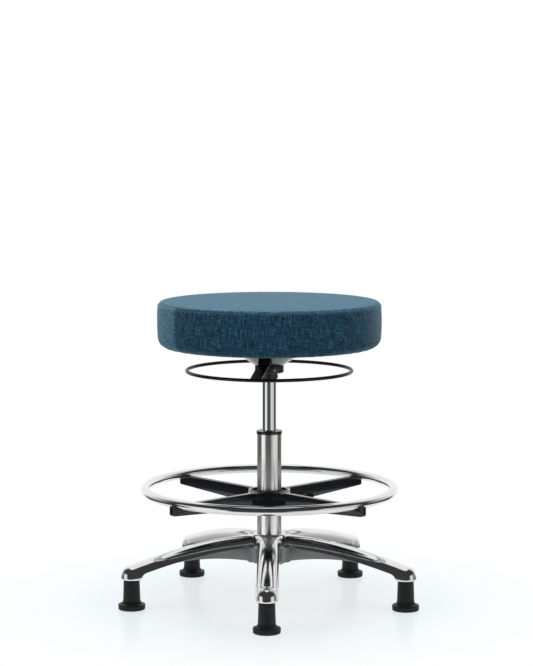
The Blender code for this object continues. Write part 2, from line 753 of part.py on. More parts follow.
# Column and swivel bearing
def build_column():
    """Chromed column with its collar and guide bushing, and the fixed half of the bearing."""
    floor_hole = ROD_END_RADIUS + 2 * GAP
    tube = [
        (COLUMN_RADIUS, COLUMN_HEIGHT),
        (COLUMN_RADIUS, COLUMN_TAPER_TOP),
        (COLUMN_RADIUS - COLUMN_TAPER, COLUMN_BOTTOM),
        (floor_hole, COLUMN_BOTTOM),
        (floor_hole, COLUMN_FLOOR),
        (COLUMN_BORE, COLUMN_FLOOR),
        (COLUMN_BORE, COLUMN_HEIGHT),
    ]
    turned("column_tube", tube, COLUMN_STEPS, CHROME, STOOL_AXIS, closed=True)
    collar_inside = COLUMN_RADIUS + GAP
    collar_outside = collar_inside + COLLAR_WALL
    cap_bottom = COLUMN_HEIGHT + GAP
    cap_top = cap_bottom + COLLAR_TOP_THICKNESS
    sleeve_bottom = COLUMN_HEIGHT - BUSHING_LENGTH
    bushing = [
        (collar_outside - COLLAR_WALL, cap_top),
        (collar_outside, cap_top - COLLAR_WALL),
        (collar_outside, cap_top - COLLAR_HEIGHT),
        (collar_inside, cap_top - COLLAR_HEIGHT),
        (collar_inside, cap_bottom),
        (COLUMN_BORE - GAP, cap_bottom),
        (COLUMN_BORE - GAP, sleeve_bottom),
        (CYLINDER_RADIUS + GAP, sleeve_bottom),
        (CYLINDER_RADIUS + GAP, cap_top),
    ]
    turned("column_bushing", bushing, COLUMN_STEPS, BLACK_NYLON, STOOL_AXIS, closed=True)
    washer = ring_profile(floor_hole, WASHER_RADIUS, LOWER_WASHER, LOWER_WASHER + WASHER_THICKNESS)
    turned("bearing_lower_washer", washer, SMALL_STEPS, ZINC, STOOL_AXIS, closed=True)
    cage_top = BEARING_CAGE + BEARING_CAGE_THICKNESS
    cage = ring_profile(floor_hole, WASHER_RADIUS - GAP, BEARING_CAGE, cage_top)
    turned("bearing_cage", cage, SMALL_STEPS, WHITE_NYLON, STOOL_AXIS, closed=True)


def build_piston_rod(swivel):
    """The rod that turns on the bearing and carries the piston inside the cylinder."""
    piston_top = PISTON_BOTTOM + PISTON_LENGTH
    rod_top = piston_top + ROD_END_STANDOUT
    groove_top = CLIP_TOP + GAP / 2
    groove_bottom = CLIP_TOP - CLIP_THICKNESS - GAP
    groove = ROD_END_RADIUS - CLIP_GROOVE_DEPTH
    rod_bottom = groove_bottom - ROD_END_STANDOUT
    rod = [
        (0.0, rod_top),
        (ROD_END_RADIUS, rod_top),
        (ROD_END_RADIUS, PISTON_BOTTOM - GAP),
        (ROD_RADIUS, PISTON_BOTTOM - GAP),
        (ROD_RADIUS, ROD_SHOULDER),
        (ROD_END_RADIUS, ROD_SHOULDER),
        (ROD_END_RADIUS, groove_top),
        (groove, groove_top),
        (groove, groove_bottom),
        (ROD_END_RADIUS, groove_bottom),
        (ROD_END_RADIUS, rod_bottom),
        (0.0, rod_bottom),
    ]
    turned("piston_rod", rod, SMALL_STEPS, BRIGHT_STEEL, swivel)
    piston_radius = CYLINDER_BORE - 2 * GAP
    seal_bottom = PISTON_BOTTOM + (PISTON_LENGTH - PISTON_SEAL_HEIGHT) / 2
    seal_top = seal_bottom + PISTON_SEAL_HEIGHT
    seat = piston_radius - PISTON_SEAL_DEPTH
    piston = [
        (piston_radius, piston_top),
        (piston_radius, seal_top + GAP),
        (seat, seal_top + GAP),
        (seat, seal_bottom - GAP),
        (piston_radius, seal_bottom - GAP),
        (piston_radius, PISTON_BOTTOM),
        (ROD_END_RADIUS + GAP, PISTON_BOTTOM),
        (ROD_END_RADIUS + GAP, piston_top),
    ]
    turned("piston", piston, GLIDE_STEPS, ZINC, swivel, closed=True)
    seal = ring_profile(seat + GAP, CYLINDER_BORE - GAP, seal_bottom, seal_top)
    turned("piston_seal", seal, GLIDE_STEPS, RUBBER, swivel, closed=True)
    bore = ROD_END_RADIUS + GAP
    washer = ring_profile(bore, WASHER_RADIUS, UPPER_WASHER, UPPER_WASHER + WASHER_THICKNESS)
    turned("bearing_upper_washer", washer, SMALL_STEPS, ZINC, swivel, closed=True)
    stop = ring_profile(ROD_RADIUS + GAP, BUMP_STOP_RADIUS, ROD_SHOULDER, ROD_SHOULDER + BUMP_STOP_HEIGHT)
    turned("bump_stop", stop, SMALL_STEPS, RUBBER, swivel, closed=True)
    clip = ring_profile(groove + GAP, CLIP_RADIUS, CLIP_TOP - CLIP_THICKNESS, CLIP_TOP)
    turned("rod_clip", clip, SMALL_STEPS, ZINC, swivel, closed=True)


def build_cylinder(seat):
    """Gas cylinder with its valve body above and its rod guide and seal below."""
    rod_mouth = ROD_RADIUS + CYLINDER_MOUTH
    pin_mouth = VALVE_PIN_HEAD_RADIUS + CYLINDER_MOUTH
    cylinder = [
        (CYLINDER_RADIUS - CYLINDER_TAPER, CYLINDER_TOP),
        (CYLINDER_RADIUS, SOCKET_BOTTOM),
        (CYLINDER_RADIUS, CYLINDER_BOTTOM),
        (rod_mouth, CYLINDER_BOTTOM),
        (rod_mouth, CYLINDER_BOTTOM + CYLINDER_LIP),
        (CYLINDER_BORE, CYLINDER_BOTTOM + CYLINDER_LIP),
        (CYLINDER_BORE, CYLINDER_TOP - CYLINDER_LIP),
        (pin_mouth, CYLINDER_TOP - CYLINDER_LIP),
        (pin_mouth, CYLINDER_TOP),
    ]
    turned("gas_cylinder", cylinder, COLUMN_STEPS, CHROME, seat, closed=True)
    fit = CYLINDER_BORE - GAP
    valve_top = CYLINDER_TOP - CYLINDER_LIP - GAP
    valve = ring_profile(VALVE_PIN_RADIUS + GAP, fit, valve_top - VALVE_BODY_LENGTH, valve_top)
    turned("valve_body", valve, GLIDE_STEPS, ZINC, seat, closed=True)
    guide_bottom = CYLINDER_BOTTOM + CYLINDER_LIP + GAP
    guide_top = guide_bottom + GUIDE_LENGTH
    guide = ring_profile(ROD_RADIUS + GAP, fit, guide_bottom, guide_top)
    turned("rod_guide", guide, GLIDE_STEPS, WHITE_NYLON, seat, closed=True)
    seal_bottom = guide_top + GAP
    seal = ring_profile(ROD_RADIUS + GAP, fit, seal_bottom, seal_bottom + ROD_SEAL_LENGTH)
    turned("rod_seal", seal, GLIDE_STEPS, RUBBER, seat, closed=True)


def build_valve_pin(seat):
    """The button that the strap pushes down."""
    top = STRAP_BOTTOM - GAP
    neck = top - VALVE_PIN_HEAD_HEIGHT
    bottom = top - VALVE_PIN_LENGTH
    pin = [
        (0.0, top),
        (VALVE_PIN_HEAD_RADIUS, top),
        (VALVE_PIN_HEAD_RADIUS, neck),
        (VALVE_PIN_RADIUS, neck),
        (VALVE_PIN_RADIUS, bottom),
        (0.0, bottom),
    ]
    turned("valve_pin", pin, SMALL_STEPS, BRIGHT_STEEL, seat)


# Seat
def cushion_outline(inset):
    """Half outline of the cushion, set in evenly: crown, top edge, drawn-in side, bottom edge."""
    top = SEAT_HEIGHT - inset
    bottom = SEAT_BOTTOM + inset
    edge = SEAT_RADIUS - SEAT_SIDE_DRAW - inset
    top_round = SEAT_TOP_ROUND - inset
    bottom_round = SEAT_BOTTOM_ROUND - inset
    crown_run = edge - top_round
    points = []
    for i in range(CROWN_STEPS):
        share = i / CROWN_STEPS
        points.append((crown_run * share, top - SEAT_CROWN * share ** 2))
    shoulder = top - SEAT_CROWN - top_round
    points += arc(crown_run, shoulder, top_round, top_round, 90.0, 0.0, TOP_EDGE_STEPS)
    hip = bottom + bottom_round
    for i in range(1, SIDE_STEPS):
        share = i / SIDE_STEPS
        bulge = SEAT_SIDE_DRAW * (1.0 - (2 * share - 1.0) ** 2)
        points.append((edge + bulge, shoulder + (hip - shoulder) * share))
    points += arc(edge - bottom_round, hip, bottom_round, bottom_round, 0.0, -90.0, ROUND_STEPS)
    return points


def build_seat(seat):
    """Cover, foam, plywood board and the black cloth that closes the underside."""
    cover = cushion_outline(0.0)
    cover += [(HEM_RADIUS, SEAT_BOTTOM), (HEM_RADIUS, SEAT_BOTTOM + COVER_THICKNESS)]
    cover += reversed(cushion_outline(COVER_THICKNESS))
    turned("seat_cover", cover, SEAT_STEPS, TWEED, seat)
    foam_bottom = BOARD_TOP + GAP
    pocket = BOARD_RADIUS + GAP
    foam = cushion_outline(COVER_THICKNESS + GAP)
    foam += [(pocket, SEAT_BOTTOM + COVER_THICKNESS + GAP), (pocket, foam_bottom), (0.0, foam_bottom)]
    turned("seat_foam", foam, SEAT_STEPS, FOAM, seat)
    board = rod_profile(BOARD_RADIUS, BOARD_BOTTOM, BOARD_TOP)
    board = turned("seat_board", board, SEAT_STEPS, PLYWOOD, seat)
    tee_nut_holes = cutter_set("tee_nut_holes")
    flange = TEE_NUT_FLANGE_RADIUS + GAP
    barrel = TEE_NUT_BARREL_RADIUS + GAP
    step = BOARD_TOP - TEE_NUT_FLANGE_THICKNESS - GAP
    hole = [
        (0.0, BOARD_TOP + REACH_PAST),
        (flange, BOARD_TOP + REACH_PAST),
        (flange, step),
        (barrel, step),
        (barrel, BOARD_BOTTOM - REACH_PAST),
        (0.0, BOARD_BOTTOM - REACH_PAST),
    ]
    for k, angle in enumerate(BOLT_ANGLES):
        cutter = turned_cutter(f"tee_nut_hole_{k + 1}", hole, SMALL_STEPS, seat, tee_nut_holes)
        cutter.location = on_circle(SEAT_BOLT_CIRCLE, angle)
    combine(board, 'DIFFERENCE', tee_nut_holes)
    cloth_top = SEAT_BOTTOM - GAP
    cloth = ring_profile(
        FLANGE_RADIUS + DUST_COVER_CLEARANCE,
        HEM_RADIUS + DUST_COVER_OVERLAP,
        cloth_top - DUST_COVER_THICKNESS,
        cloth_top,
    )
    turned("dust_cover", cloth, SEAT_STEPS, BLACK_CLOTH, seat, closed=True)


def build_seat_fixings(seat):
    """Bolts up through the flange into tee nuts in the board."""
    nut_bore = SEAT_BOLT_RADIUS + GAP
    nut_step = BOARD_TOP - TEE_NUT_FLANGE_THICKNESS
    nut_bottom = BOARD_TOP - TEE_NUT_LENGTH
    nut = [
        (TEE_NUT_FLANGE_RADIUS, BOARD_TOP),
        (TEE_NUT_FLANGE_RADIUS, nut_step),
        (TEE_NUT_BARREL_RADIUS, nut_step),
        (TEE_NUT_BARREL_RADIUS, nut_bottom),
        (nut_bore, nut_bottom),
        (nut_bore, BOARD_TOP),
    ]
    head_top = FLANGE_BOTTOM - GAP
    bolt = [
        (0.0, BOARD_TOP - GAP),
        (SEAT_BOLT_RADIUS, BOARD_TOP - GAP),
        (SEAT_BOLT_RADIUS, head_top),
        (SEAT_BOLT_HEAD_RADIUS, head_top),
        (SEAT_BOLT_HEAD_RADIUS, head_top - SEAT_BOLT_HEAD_HEIGHT),
        (0.0, head_top - SEAT_BOLT_HEAD_HEIGHT),
    ]
    for k, angle in enumerate(BOLT_ANGLES):
        place = on_circle(SEAT_BOLT_CIRCLE, angle)
        turned(f"tee_nut_{k + 1}", nut, SMALL_STEPS, ZINC, seat, closed=True).location = place
        turned(f"seat_bolt_{k + 1}", bolt, SMALL_STEPS, ZINC, seat).location = place


# Bowl, socket and release
def bowl_radius(height):
    """Outer radius of the bowl at a height."""
    share = (height - BOWL_BOTTOM) / BOWL_DEPTH
    swell = BOWL_SWELL * 4 * share * (1.0 - share)
    return BOWL_NECK_RADIUS + (BOWL_RADIUS - BOWL_NECK_RADIUS) * share + swell


# The slanted wall is this wide on the level
BOWL_WALL_RUN = BOWL_SHEET * math.hypot(BOWL_DEPTH, BOWL_RADIUS - BOWL_NECK_RADIUS) / BOWL_DEPTH
FULCRUM_RADIUS = bowl_radius(SLOT_TOP) - BOWL_WALL_RUN / 2
SLOT_BOTTOM = STRAP_BOTTOM - 2 * FULCRUM_RADIUS * math.tan(RELEASE_LIFT) - SLOT_END_CLEARANCE


def build_mechanism(seat):
    """Spun bowl with its flange, and the black taper socket below it."""
    levels = [FLANGE_BOTTOM - BOWL_DEPTH * i / BOWL_STEPS for i in range(BOWL_STEPS + 1)]
    profile = [(FLANGE_RADIUS, FLANGE_TOP), (FLANGE_RADIUS, FLANGE_BOTTOM)]
    profile += [(bowl_radius(height), height) for height in levels]
    neck = SOCKET_NECK_RADIUS + GAP
    profile += [(neck, BOWL_BOTTOM), (neck, SOCKET_TOP)]
    rise = FLANGE_BOTTOM - SOCKET_TOP
    levels = [SOCKET_TOP + rise * i / BOWL_STEPS for i in range(BOWL_STEPS + 1)]
    profile += [(bowl_radius(height) - BOWL_WALL_RUN, height) for height in levels]
    profile.append((BOWL_RADIUS - BOWL_WALL_RUN, FLANGE_TOP))
    plate = turned("mechanism_plate", profile, COLUMN_STEPS, BRIGHT_STEEL, seat, closed=True)
    openings = cutter_set("bowl_openings")
    reach = BOWL_RADIUS + REACH_PAST
    half = STRAP_WIDTH / 2 + SLOT_SIDE_CLEARANCE
    slot = box_mesh("strap_slot", (-reach, -half, SLOT_BOTTOM), (reach, half, SLOT_TOP))
    add_cutter("strap_slot", slot, seat, openings).rotation_euler.z = STRAP_AZIMUTH
    hole = rod_profile(SEAT_BOLT_RADIUS + GAP, FLANGE_BOTTOM - REACH_PAST, FLANGE_TOP + REACH_PAST)
    for k, angle in enumerate(BOLT_ANGLES):
        cutter = turned_cutter(f"flange_hole_{k + 1}", hole, SMALL_STEPS, seat, openings)
        cutter.location = on_circle(SEAT_BOLT_CIRCLE, angle)
    combine(plate, 'DIFFERENCE', openings)
    bore_bottom = CYLINDER_RADIUS + GAP
    slope = CYLINDER_TAPER / (CYLINDER_TOP - SOCKET_BOTTOM)
    bore_top = bore_bottom - slope * (SOCKET_TOP - SOCKET_BOTTOM)
    socket = [
        (SOCKET_NECK_RADIUS, SOCKET_TOP),
        (SOCKET_NECK_RADIUS, SOCKET_HUB_TOP),
        (SOCKET_HUB_RADIUS, SOCKET_HUB_TOP),
        (SOCKET_HUB_RADIUS, SOCKET_HUB_BOTTOM),
        (SOCKET_COLLAR_RADIUS, SOCKET_HUB_BOTTOM),
        (SOCKET_COLLAR_RADIUS, SOCKET_BOTTOM),
        (bore_bottom, SOCKET_BOTTOM),
        (bore_top, SOCKET_TOP),
    ]
    hub = turned("taper_socket", socket, COLUMN_STEPS, BLACK_PAINT, seat, closed=True)
    screw_holes = cutter_set("socket_holes")
    outer_end = SOCKET_HUB_RADIUS + SOCKET_SCREW_STANDOUT
    inner_end = outer_end - SOCKET_SCREW_LENGTH
    height = SOCKET_HUB_BOTTOM + SOCKET_HUB_HEIGHT / 2
    turn_out = (0.0, math.pi / 2, SOCKET_SCREW_AZIMUTH)
    hole = rod_profile(SOCKET_SCREW_RADIUS + GAP, inner_end - GAP, outer_end + REACH_PAST)
    cutter = turned_cutter("socket_screw_hole", hole, SMALL_STEPS, seat, screw_holes)
    screw = rod_profile(SOCKET_SCREW_RADIUS, inner_end, outer_end)
    screw = turned("socket_screw", screw, SMALL_STEPS, ZINC, seat)
    for obj in (cutter, screw):
        obj.location.z = height
        obj.rotation_euler = turn_out
    combine(hub, 'DIFFERENCE', screw_holes)


def bar_outline(centre_line, thickness):
    """Offset a bent centre line to both sides, with mitred bends."""
    upper = []
    lower = []
    for i, (x, y) in enumerate(centre_line):
        before = centre_line[max(0, i - 1)]
        after = centre_line[min(len(centre_line) - 1, i + 1)]
        first = math.atan2(y - before[1], x - before[0]) if i > 0 else None
        second = math.atan2(after[1] - y, after[0] - x) if i < len(centre_line) - 1 else None
        first = second if first is None else first
        second = first if second is None else second
        middle = (first + second) / 2
        reach = thickness / 2 / math.cos((second - first) / 2)
        upper.append((x - reach * math.sin(middle), y + reach * math.cos(middle)))
        lower.append((x + reach * math.sin(middle), y - reach * math.cos(middle)))
    return upper + lower[::-1]


def build_release(seat):
    """Wire ring on a flat strap that rocks in the bowl's slots and pushes the valve pin."""
    pivot = joint_empty(
        "release_pivot",
        seat,
        on_circle(FULCRUM_RADIUS, STRAP_AZIMUTH, SLOT_TOP),
        (0.0, 0.0, STRAP_AZIMUTH),
    )
    ring = torus_mesh("release_ring", RELEASE_RING_RADIUS, RELEASE_WIRE_RADIUS, RING_STEPS, WIRE_STEPS)
    ring = add_part("release_ring", ring, BLACK_PAINT, pivot)
    ring.location = (-FULCRUM_RADIUS, 0.0, RELEASE_RING_HEIGHT - SLOT_TOP)
    level = STRAP_BOTTOM + STRAP_THICKNESS / 2
    flat_end = FULCRUM_RADIUS + STRAP_FLAT_MARGIN
    ring_inside = (RELEASE_RING_RADIUS - RELEASE_WIRE_RADIUS) * math.cos(math.pi / RING_STEPS)
    tip = math.sqrt(ring_inside ** 2 - (STRAP_WIDTH / 2) ** 2) - GAP
    arm = [
        (flat_end, level),
        (flat_end + STRAP_STEP_RUN, level - STRAP_STEP_DROP),
        (tip, RELEASE_RING_HEIGHT),
    ]
    centre_line = [(-x, height) for x, height in reversed(arm)] + arm
    strap = upright_plate_mesh("release_strap", bar_outline(centre_line, STRAP_THICKNESS), STRAP_WIDTH)
    strap = add_part("release_strap", strap, BLACK_PAINT, pivot)
    strap.location = (-FULCRUM_RADIUS, 0.0, -SLOT_TOP)


# Foot ring
def arm_outline():
    """Side view of one spider arm, with a rounded tip."""
    root = SPIDER_BORE + ARM_WALL
    tip_bottom = ARM_TOP - ARM_TIP_DEPTH
    corner = ARM_REACH - ARM_TIP_ROUND
    points = [(root, ARM_TOP)]
    points += arc(corner, ARM_TOP - ARM_TIP_ROUND, ARM_TIP_ROUND, ARM_TIP_ROUND, 90.0, 0.0, ROUND_STEPS)
    points += arc(corner, tip_bottom + ARM_TIP_ROUND, ARM_TIP_ROUND, ARM_TIP_ROUND, 0.0, -90.0, ROUND_STEPS)
    points += [(SPIDER_HUB_HALF_WIDTH, ARM_TOP - ARM_ROOT_DEPTH), (root, ARM_TOP - ARM_ROOT_DEPTH)]
    return points


def screw_hole_profile():
    """Clearance for one ring screw, with room for its head below the arm."""
    head = RING_SCREW_HEAD_RADIUS + GAP
    shank = RING_SCREW_RADIUS + GAP
    head_top = ARM_TOP - ARM_TIP_DEPTH + RING_SCREW_HEAD_HEIGHT + GAP
    return [
        (0.0, FOOT_RING_HEIGHT),
        (shank, FOOT_RING_HEIGHT),
        (shank, head_top),
        (head, head_top),
        (head, SPIDER_BOTTOM - REACH_PAST),
        (0.0, SPIDER_BOTTOM - REACH_PAST),
    ]


def build_spider(ring_axis):
    """Square hub with four tapering arms that cradle the ring, hollow below."""
    joined = cutter_set("spider_joined")
    hollows = cutter_set("spider_hollows")
    rim = SPIDER_BORE + SPIDER_RIM_WIDTH
    hub = rod_profile(rim, SPIDER_BOTTOM + ARM_EDGE, ARM_TOP + SPIDER_RIM_HEIGHT)
    spider = turned("foot_ring_spider", hub, COLUMN_STEPS, BLACK_PLASTIC, ring_axis)
    half = SPIDER_HUB_HALF_WIDTH
    block = box_mesh("spider_block", (-half, -half, SPIDER_BOTTOM), (half, half, SPIDER_TOP))
    soften(add_cutter("spider_block", block, ring_axis, joined), ARM_EDGE)
    arm = upright_plate_mesh("spider_arm", arm_outline(), ARM_WIDTH)
    channel_start = SPIDER_HUB_HALF_WIDTH * math.sqrt(2.0) + ARM_CHANNEL_INSET
    channel_end = FOOT_RING_RADIUS - FOOT_TUBE_RADIUS - ARM_CHANNEL_END
    channel_half = ARM_WIDTH / 2 - ARM_WALL
    channel = box_mesh(
        "arm_channel",
        (channel_start, -channel_half, SPIDER_BOTTOM - REACH_PAST),
        (channel_end, channel_half, ARM_TOP - ARM_WALL),
    )
    for k, angle in enumerate(ARM_ANGLES):
        piece = add_cutter(f"spider_arm_{k + 1}", arm, ring_axis, joined)
        piece.rotation_euler.z = angle
        soften(piece, ARM_EDGE)
        add_cutter(f"arm_channel_{k + 1}", channel, ring_axis, hollows).rotation_euler.z = angle
        hole = turned_cutter(f"arm_hole_{k + 1}", screw_hole_profile(), SMALL_STEPS, ring_axis, hollows)
        hole.location = on_circle(FOOT_RING_RADIUS, angle)
    bore = rod_profile(SPIDER_BORE, SPIDER_BOTTOM - REACH_PAST, ARM_TOP + REACH_PAST)
    turned_cutter("spider_bore", bore, COLUMN_STEPS, ring_axis, hollows)
    saddle = torus_mesh("ring_saddle", FOOT_RING_RADIUS, FOOT_TUBE_RADIUS + GAP, RING_STEPS, TUBE_STEPS)
    add_cutter("ring_saddle", saddle, ring_axis, hollows).location.z = FOOT_RING_HEIGHT
    hole = rod_profile(CLAMP_SCREW_RADIUS + CLAMP_SCREW_CLEARANCE, 0.0, SPIDER_HUB_HALF_WIDTH + REACH_PAST)
    hole = turned_cutter("clamp_hole", hole, SMALL_STEPS, ring_axis, hollows)
    hole.location.z = KNOB_HEIGHT
    hole.rotation_euler.y = math.pi / 2
    combine(spider, 'UNION', joined)
    combine(spider, 'DIFFERENCE', hollows)


def build_foot_ring(ring_axis):
    """Chromed tube ring with a hole over each arm, and the screws that hold it."""
    ring = torus_mesh("foot_ring", FOOT_RING_RADIUS, FOOT_TUBE_RADIUS, RING_STEPS, TUBE_STEPS)
    ring = add_part("foot_ring", ring, CHROME, ring_axis)
    ring.location.z = FOOT_RING_HEIGHT
    hollows = cutter_set("tube_hollows")
    bore_radius = FOOT_TUBE_RADIUS - FOOT_TUBE_WALL
    bore = torus_mesh("tube_bore", FOOT_RING_RADIUS, bore_radius, RING_STEPS, TUBE_BORE_STEPS)
    add_cutter("tube_bore", bore, ring_axis, hollows).location.z = FOOT_RING_HEIGHT
    head_bottom = ARM_TOP - ARM_TIP_DEPTH
    head_top = head_bottom + RING_SCREW_HEAD_HEIGHT
    top = FOOT_RING_HEIGHT - FOOT_TUBE_RADIUS + FOOT_TUBE_WALL + RING_SCREW_BITE
    screw = [
        (0.0, top),
        (RING_SCREW_RADIUS, top),
        (RING_SCREW_RADIUS, head_top),
        (RING_SCREW_HEAD_RADIUS, head_top),
        (RING_SCREW_HEAD_RADIUS, head_bottom),
        (0.0, head_bottom),
    ]
    for k, angle in enumerate(ARM_ANGLES):
        place = on_circle(FOOT_RING_RADIUS, angle)
        hole = turned_cutter(f"tube_hole_{k + 1}", screw_hole_profile(), SMALL_STEPS, ring_axis, hollows)
        hole.location = place
        turned(f"ring_screw_{k + 1}", screw, SMALL_STEPS, ZINC, ring_axis).location = place
    combine(ring, 'DIFFERENCE', hollows)


def build_bush(slide):
    """Split bush that slides on the column and carries the spider on its flange."""
    top = SPIDER_TOP - BUSH_SINK
    flange_top = SPIDER_BOTTOM - GAP
    flange_bottom = flange_top - BUSH_FLANGE_THICKNESS
    flange = BUSH_RADIUS + BUSH_FLANGE_WIDTH
    bush = [
        (BUSH_RADIUS, top),
        (BUSH_RADIUS, flange_top),
        (flange, flange_top),
        (flange, flange_bottom),
        (BUSH_BORE, flange_bottom),
        (BUSH_BORE, top),
    ]
    bush = turned("foot_ring_bush", bush, COLUMN_STEPS, BLACK_NYLON, slide, closed=True)
    slits = cutter_set("bush_slits")
    slit = box_mesh(
        "bush_slit",
        (-flange - REACH_PAST, -BUSH_SLIT / 2, flange_bottom - REACH_PAST),
        (0.0, BUSH_SLIT / 2, top + REACH_PAST),
    )
    add_cutter("bush_slit", slit, slide, slits)
    combine(bush, 'DIFFERENCE', slits)


def knob_outline():
    """Round outline with shallow flutes."""
    count = KNOB_FLUTES * KNOB_FLUTE_STEPS
    points = []
    for i in range(count):
        angle = 2 * math.pi * i / count
        radius = KNOB_RADIUS - KNOB_FLUTE_DEPTH * (1.0 - math.cos(KNOB_FLUTES * angle)) / 2
        points.append((radius * math.cos(angle), radius * math.sin(angle)))
    return points


def build_clamp(ring_axis):
    """Fluted knob, its screw, and the pad that grips the bush."""
    knob_axis = joint_empty(
        "clamp_knob_axis",
        ring_axis,
        (KNOB_STANDOFF, 0.0, KNOB_HEIGHT),
        (0.0, math.pi / 2, 0.0),
    )
    pad_start = BUSH_RADIUS + GAP - KNOB_STANDOFF
    pad_end = pad_start + CLAMP_PAD_THICKNESS
    screw_end = KNOB_LENGTH - KNOB_CAP
    knob = plate_mesh("clamp_knob", knob_outline(), KNOB_LENGTH)
    knob = add_part("clamp_knob", knob, BLACK_PLASTIC, knob_axis)
    knob.location.z = KNOB_LENGTH / 2
    soften(knob, KNOB_EDGE)
    holes = cutter_set("knob_holes")
    hole = rod_profile(CLAMP_SCREW_RADIUS + GAP, -REACH_PAST, screw_end + GAP)
    turned_cutter("knob_hole", hole, SMALL_STEPS, knob_axis, holes)
    combine(knob, 'DIFFERENCE', holes)
    screw = rod_profile(CLAMP_SCREW_RADIUS, pad_end + GAP, screw_end)
    turned("clamp_screw", screw, SMALL_STEPS, ZINC, knob_axis)
    pad = rod_profile(CLAMP_SCREW_RADIUS, pad_start, pad_end)
    turned("clamp_pad", pad, SMALL_STEPS, WHITE_NYLON, knob_axis)


def main():
    """Build the stool from the floor up."""
    build_star_base()
    build_glides()
    build_column()
    swivel = joint_empty("swivel_axis", STOOL_AXIS, (0.0, 0.0, 0.0))
    build_piston_rod(swivel)
    seat = joint_empty("seat_lift", swivel, (0.0, 0.0, 0.0))
    build_cylinder(seat)
    build_valve_pin(seat)
    build_mechanism(seat)
    build_seat(seat)
    build_seat_fixings(seat)
    build_release(seat)
    slide = joint_empty("foot_ring_slide", STOOL_AXIS, (0.0, 0.0, 0.0))
    build_bush(slide)
    ring_axis = joint_empty("foot_ring_axis", slide, (0.0, 0.0, 0.0))
    build_spider(ring_axis)
    build_foot_ring(ring_axis)
    build_clamp(ring_axis)


main()
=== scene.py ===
"""Looks of the task stool: its finishes, padded seat, castings and tubes, in a plain studio."""

import logging
from dataclasses import dataclass, field
from enum import Enum
from functools import cache
from math import atan2, cos, hypot, pi, radians, sin, sqrt, tan
from typing import Optional, Sequence, Union

import bmesh
import bpy
import numpy as np
from mathutils import Euler, Matrix, Vector
from mathutils.bvhtree import BVHTree


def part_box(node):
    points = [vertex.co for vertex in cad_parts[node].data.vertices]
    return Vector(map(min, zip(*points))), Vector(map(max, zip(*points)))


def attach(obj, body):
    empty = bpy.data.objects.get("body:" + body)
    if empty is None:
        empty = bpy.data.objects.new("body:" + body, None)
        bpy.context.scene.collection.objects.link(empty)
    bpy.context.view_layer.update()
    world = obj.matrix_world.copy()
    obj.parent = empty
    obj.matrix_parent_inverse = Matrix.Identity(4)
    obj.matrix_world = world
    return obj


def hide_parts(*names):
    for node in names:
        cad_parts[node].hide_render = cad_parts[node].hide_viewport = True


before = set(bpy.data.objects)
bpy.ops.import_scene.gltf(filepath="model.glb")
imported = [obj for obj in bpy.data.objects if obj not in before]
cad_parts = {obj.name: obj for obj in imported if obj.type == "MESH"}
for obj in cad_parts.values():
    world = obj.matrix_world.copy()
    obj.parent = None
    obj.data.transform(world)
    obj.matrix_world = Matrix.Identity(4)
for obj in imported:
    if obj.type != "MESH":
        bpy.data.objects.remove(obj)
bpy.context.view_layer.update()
LOG = logging.getLogger("task_stool")

GAP = 0.0003
TINY = 1e-6
TURN = 2 * pi
QUARTER = pi / 2
SHARP_ANGLE = radians(38.0)
ORIGIN = (0.0, 0.0, 0.0)
WHITE = (1.0, 1.0, 1.0, 1.0)
OVERRUN = 0.01
STRAP_AZIMUTH = radians(-98.7)
MILLIMETRE = 0.001
HOLE_SIDES = 24
SCREW_SIDES = 32
HEXAGON = 6

# Roundings of small edges, from the keenest to the softest
HAIR = 0.0002
KEEN = 0.0003
CRISP = 0.0004
DULL = 0.0005
EASED = 0.0006
EDGE = 0.0008
ROUND = 0.0010
SOFT = 0.0012

Mesh = bpy.types.Mesh
Material = bpy.types.Material
Node = bpy.types.Node
Socket = bpy.types.NodeSocket
Tree = bpy.types.NodeTree
Shape = bmesh.types.BMesh
Colour = tuple[float, float, float]
Point = tuple[float, float]
Corner = tuple[float, float, float]
Outline = Sequence[tuple[float, ...]]
Feed = Union[Socket, float, int, tuple, bool]


@dataclass(frozen=True)
class Span:
    """The box of one CAD node at rest."""

    low: Vector
    high: Vector

    @classmethod
    def of(cls, node: str) -> "Span":
        """Read the box of a node by name."""
        return cls(*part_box(node))

    @property
    def bottom(self) -> float:
        """Lowest height."""
        return self.low.z

    @property
    def top(self) -> float:
        """Highest height."""
        return self.high.z

    @property
    def radius(self) -> float:
        """Half the width along X, which is a turned node's radius."""
        return (self.high.x - self.low.x) / 2

    @property
    def middle(self) -> float:
        """Height half way up."""
        return (self.low.z + self.high.z) / 2

    @property
    def foot(self) -> Vector:
        """The point on the floor under the box's middle."""
        return Vector(((self.high.x + self.low.x) / 2, (self.high.y + self.low.y) / 2, 0.0))


AXIS = Span.of("column_tube").foot


class Body(Enum):
    """The moving bodies of the stool."""

    BASE = "base"
    SEAT = "seat"
    RELEASE = "release"
    BUSH = "ring_bush"
    FOOT_RING = "foot_ring"
    KNOB = "clamp_knob"


class Lay(Enum):
    """Which way the fine tool lines of a metal run."""

    PLAIN = 0
    TURNED = 1
    SPUN = 2


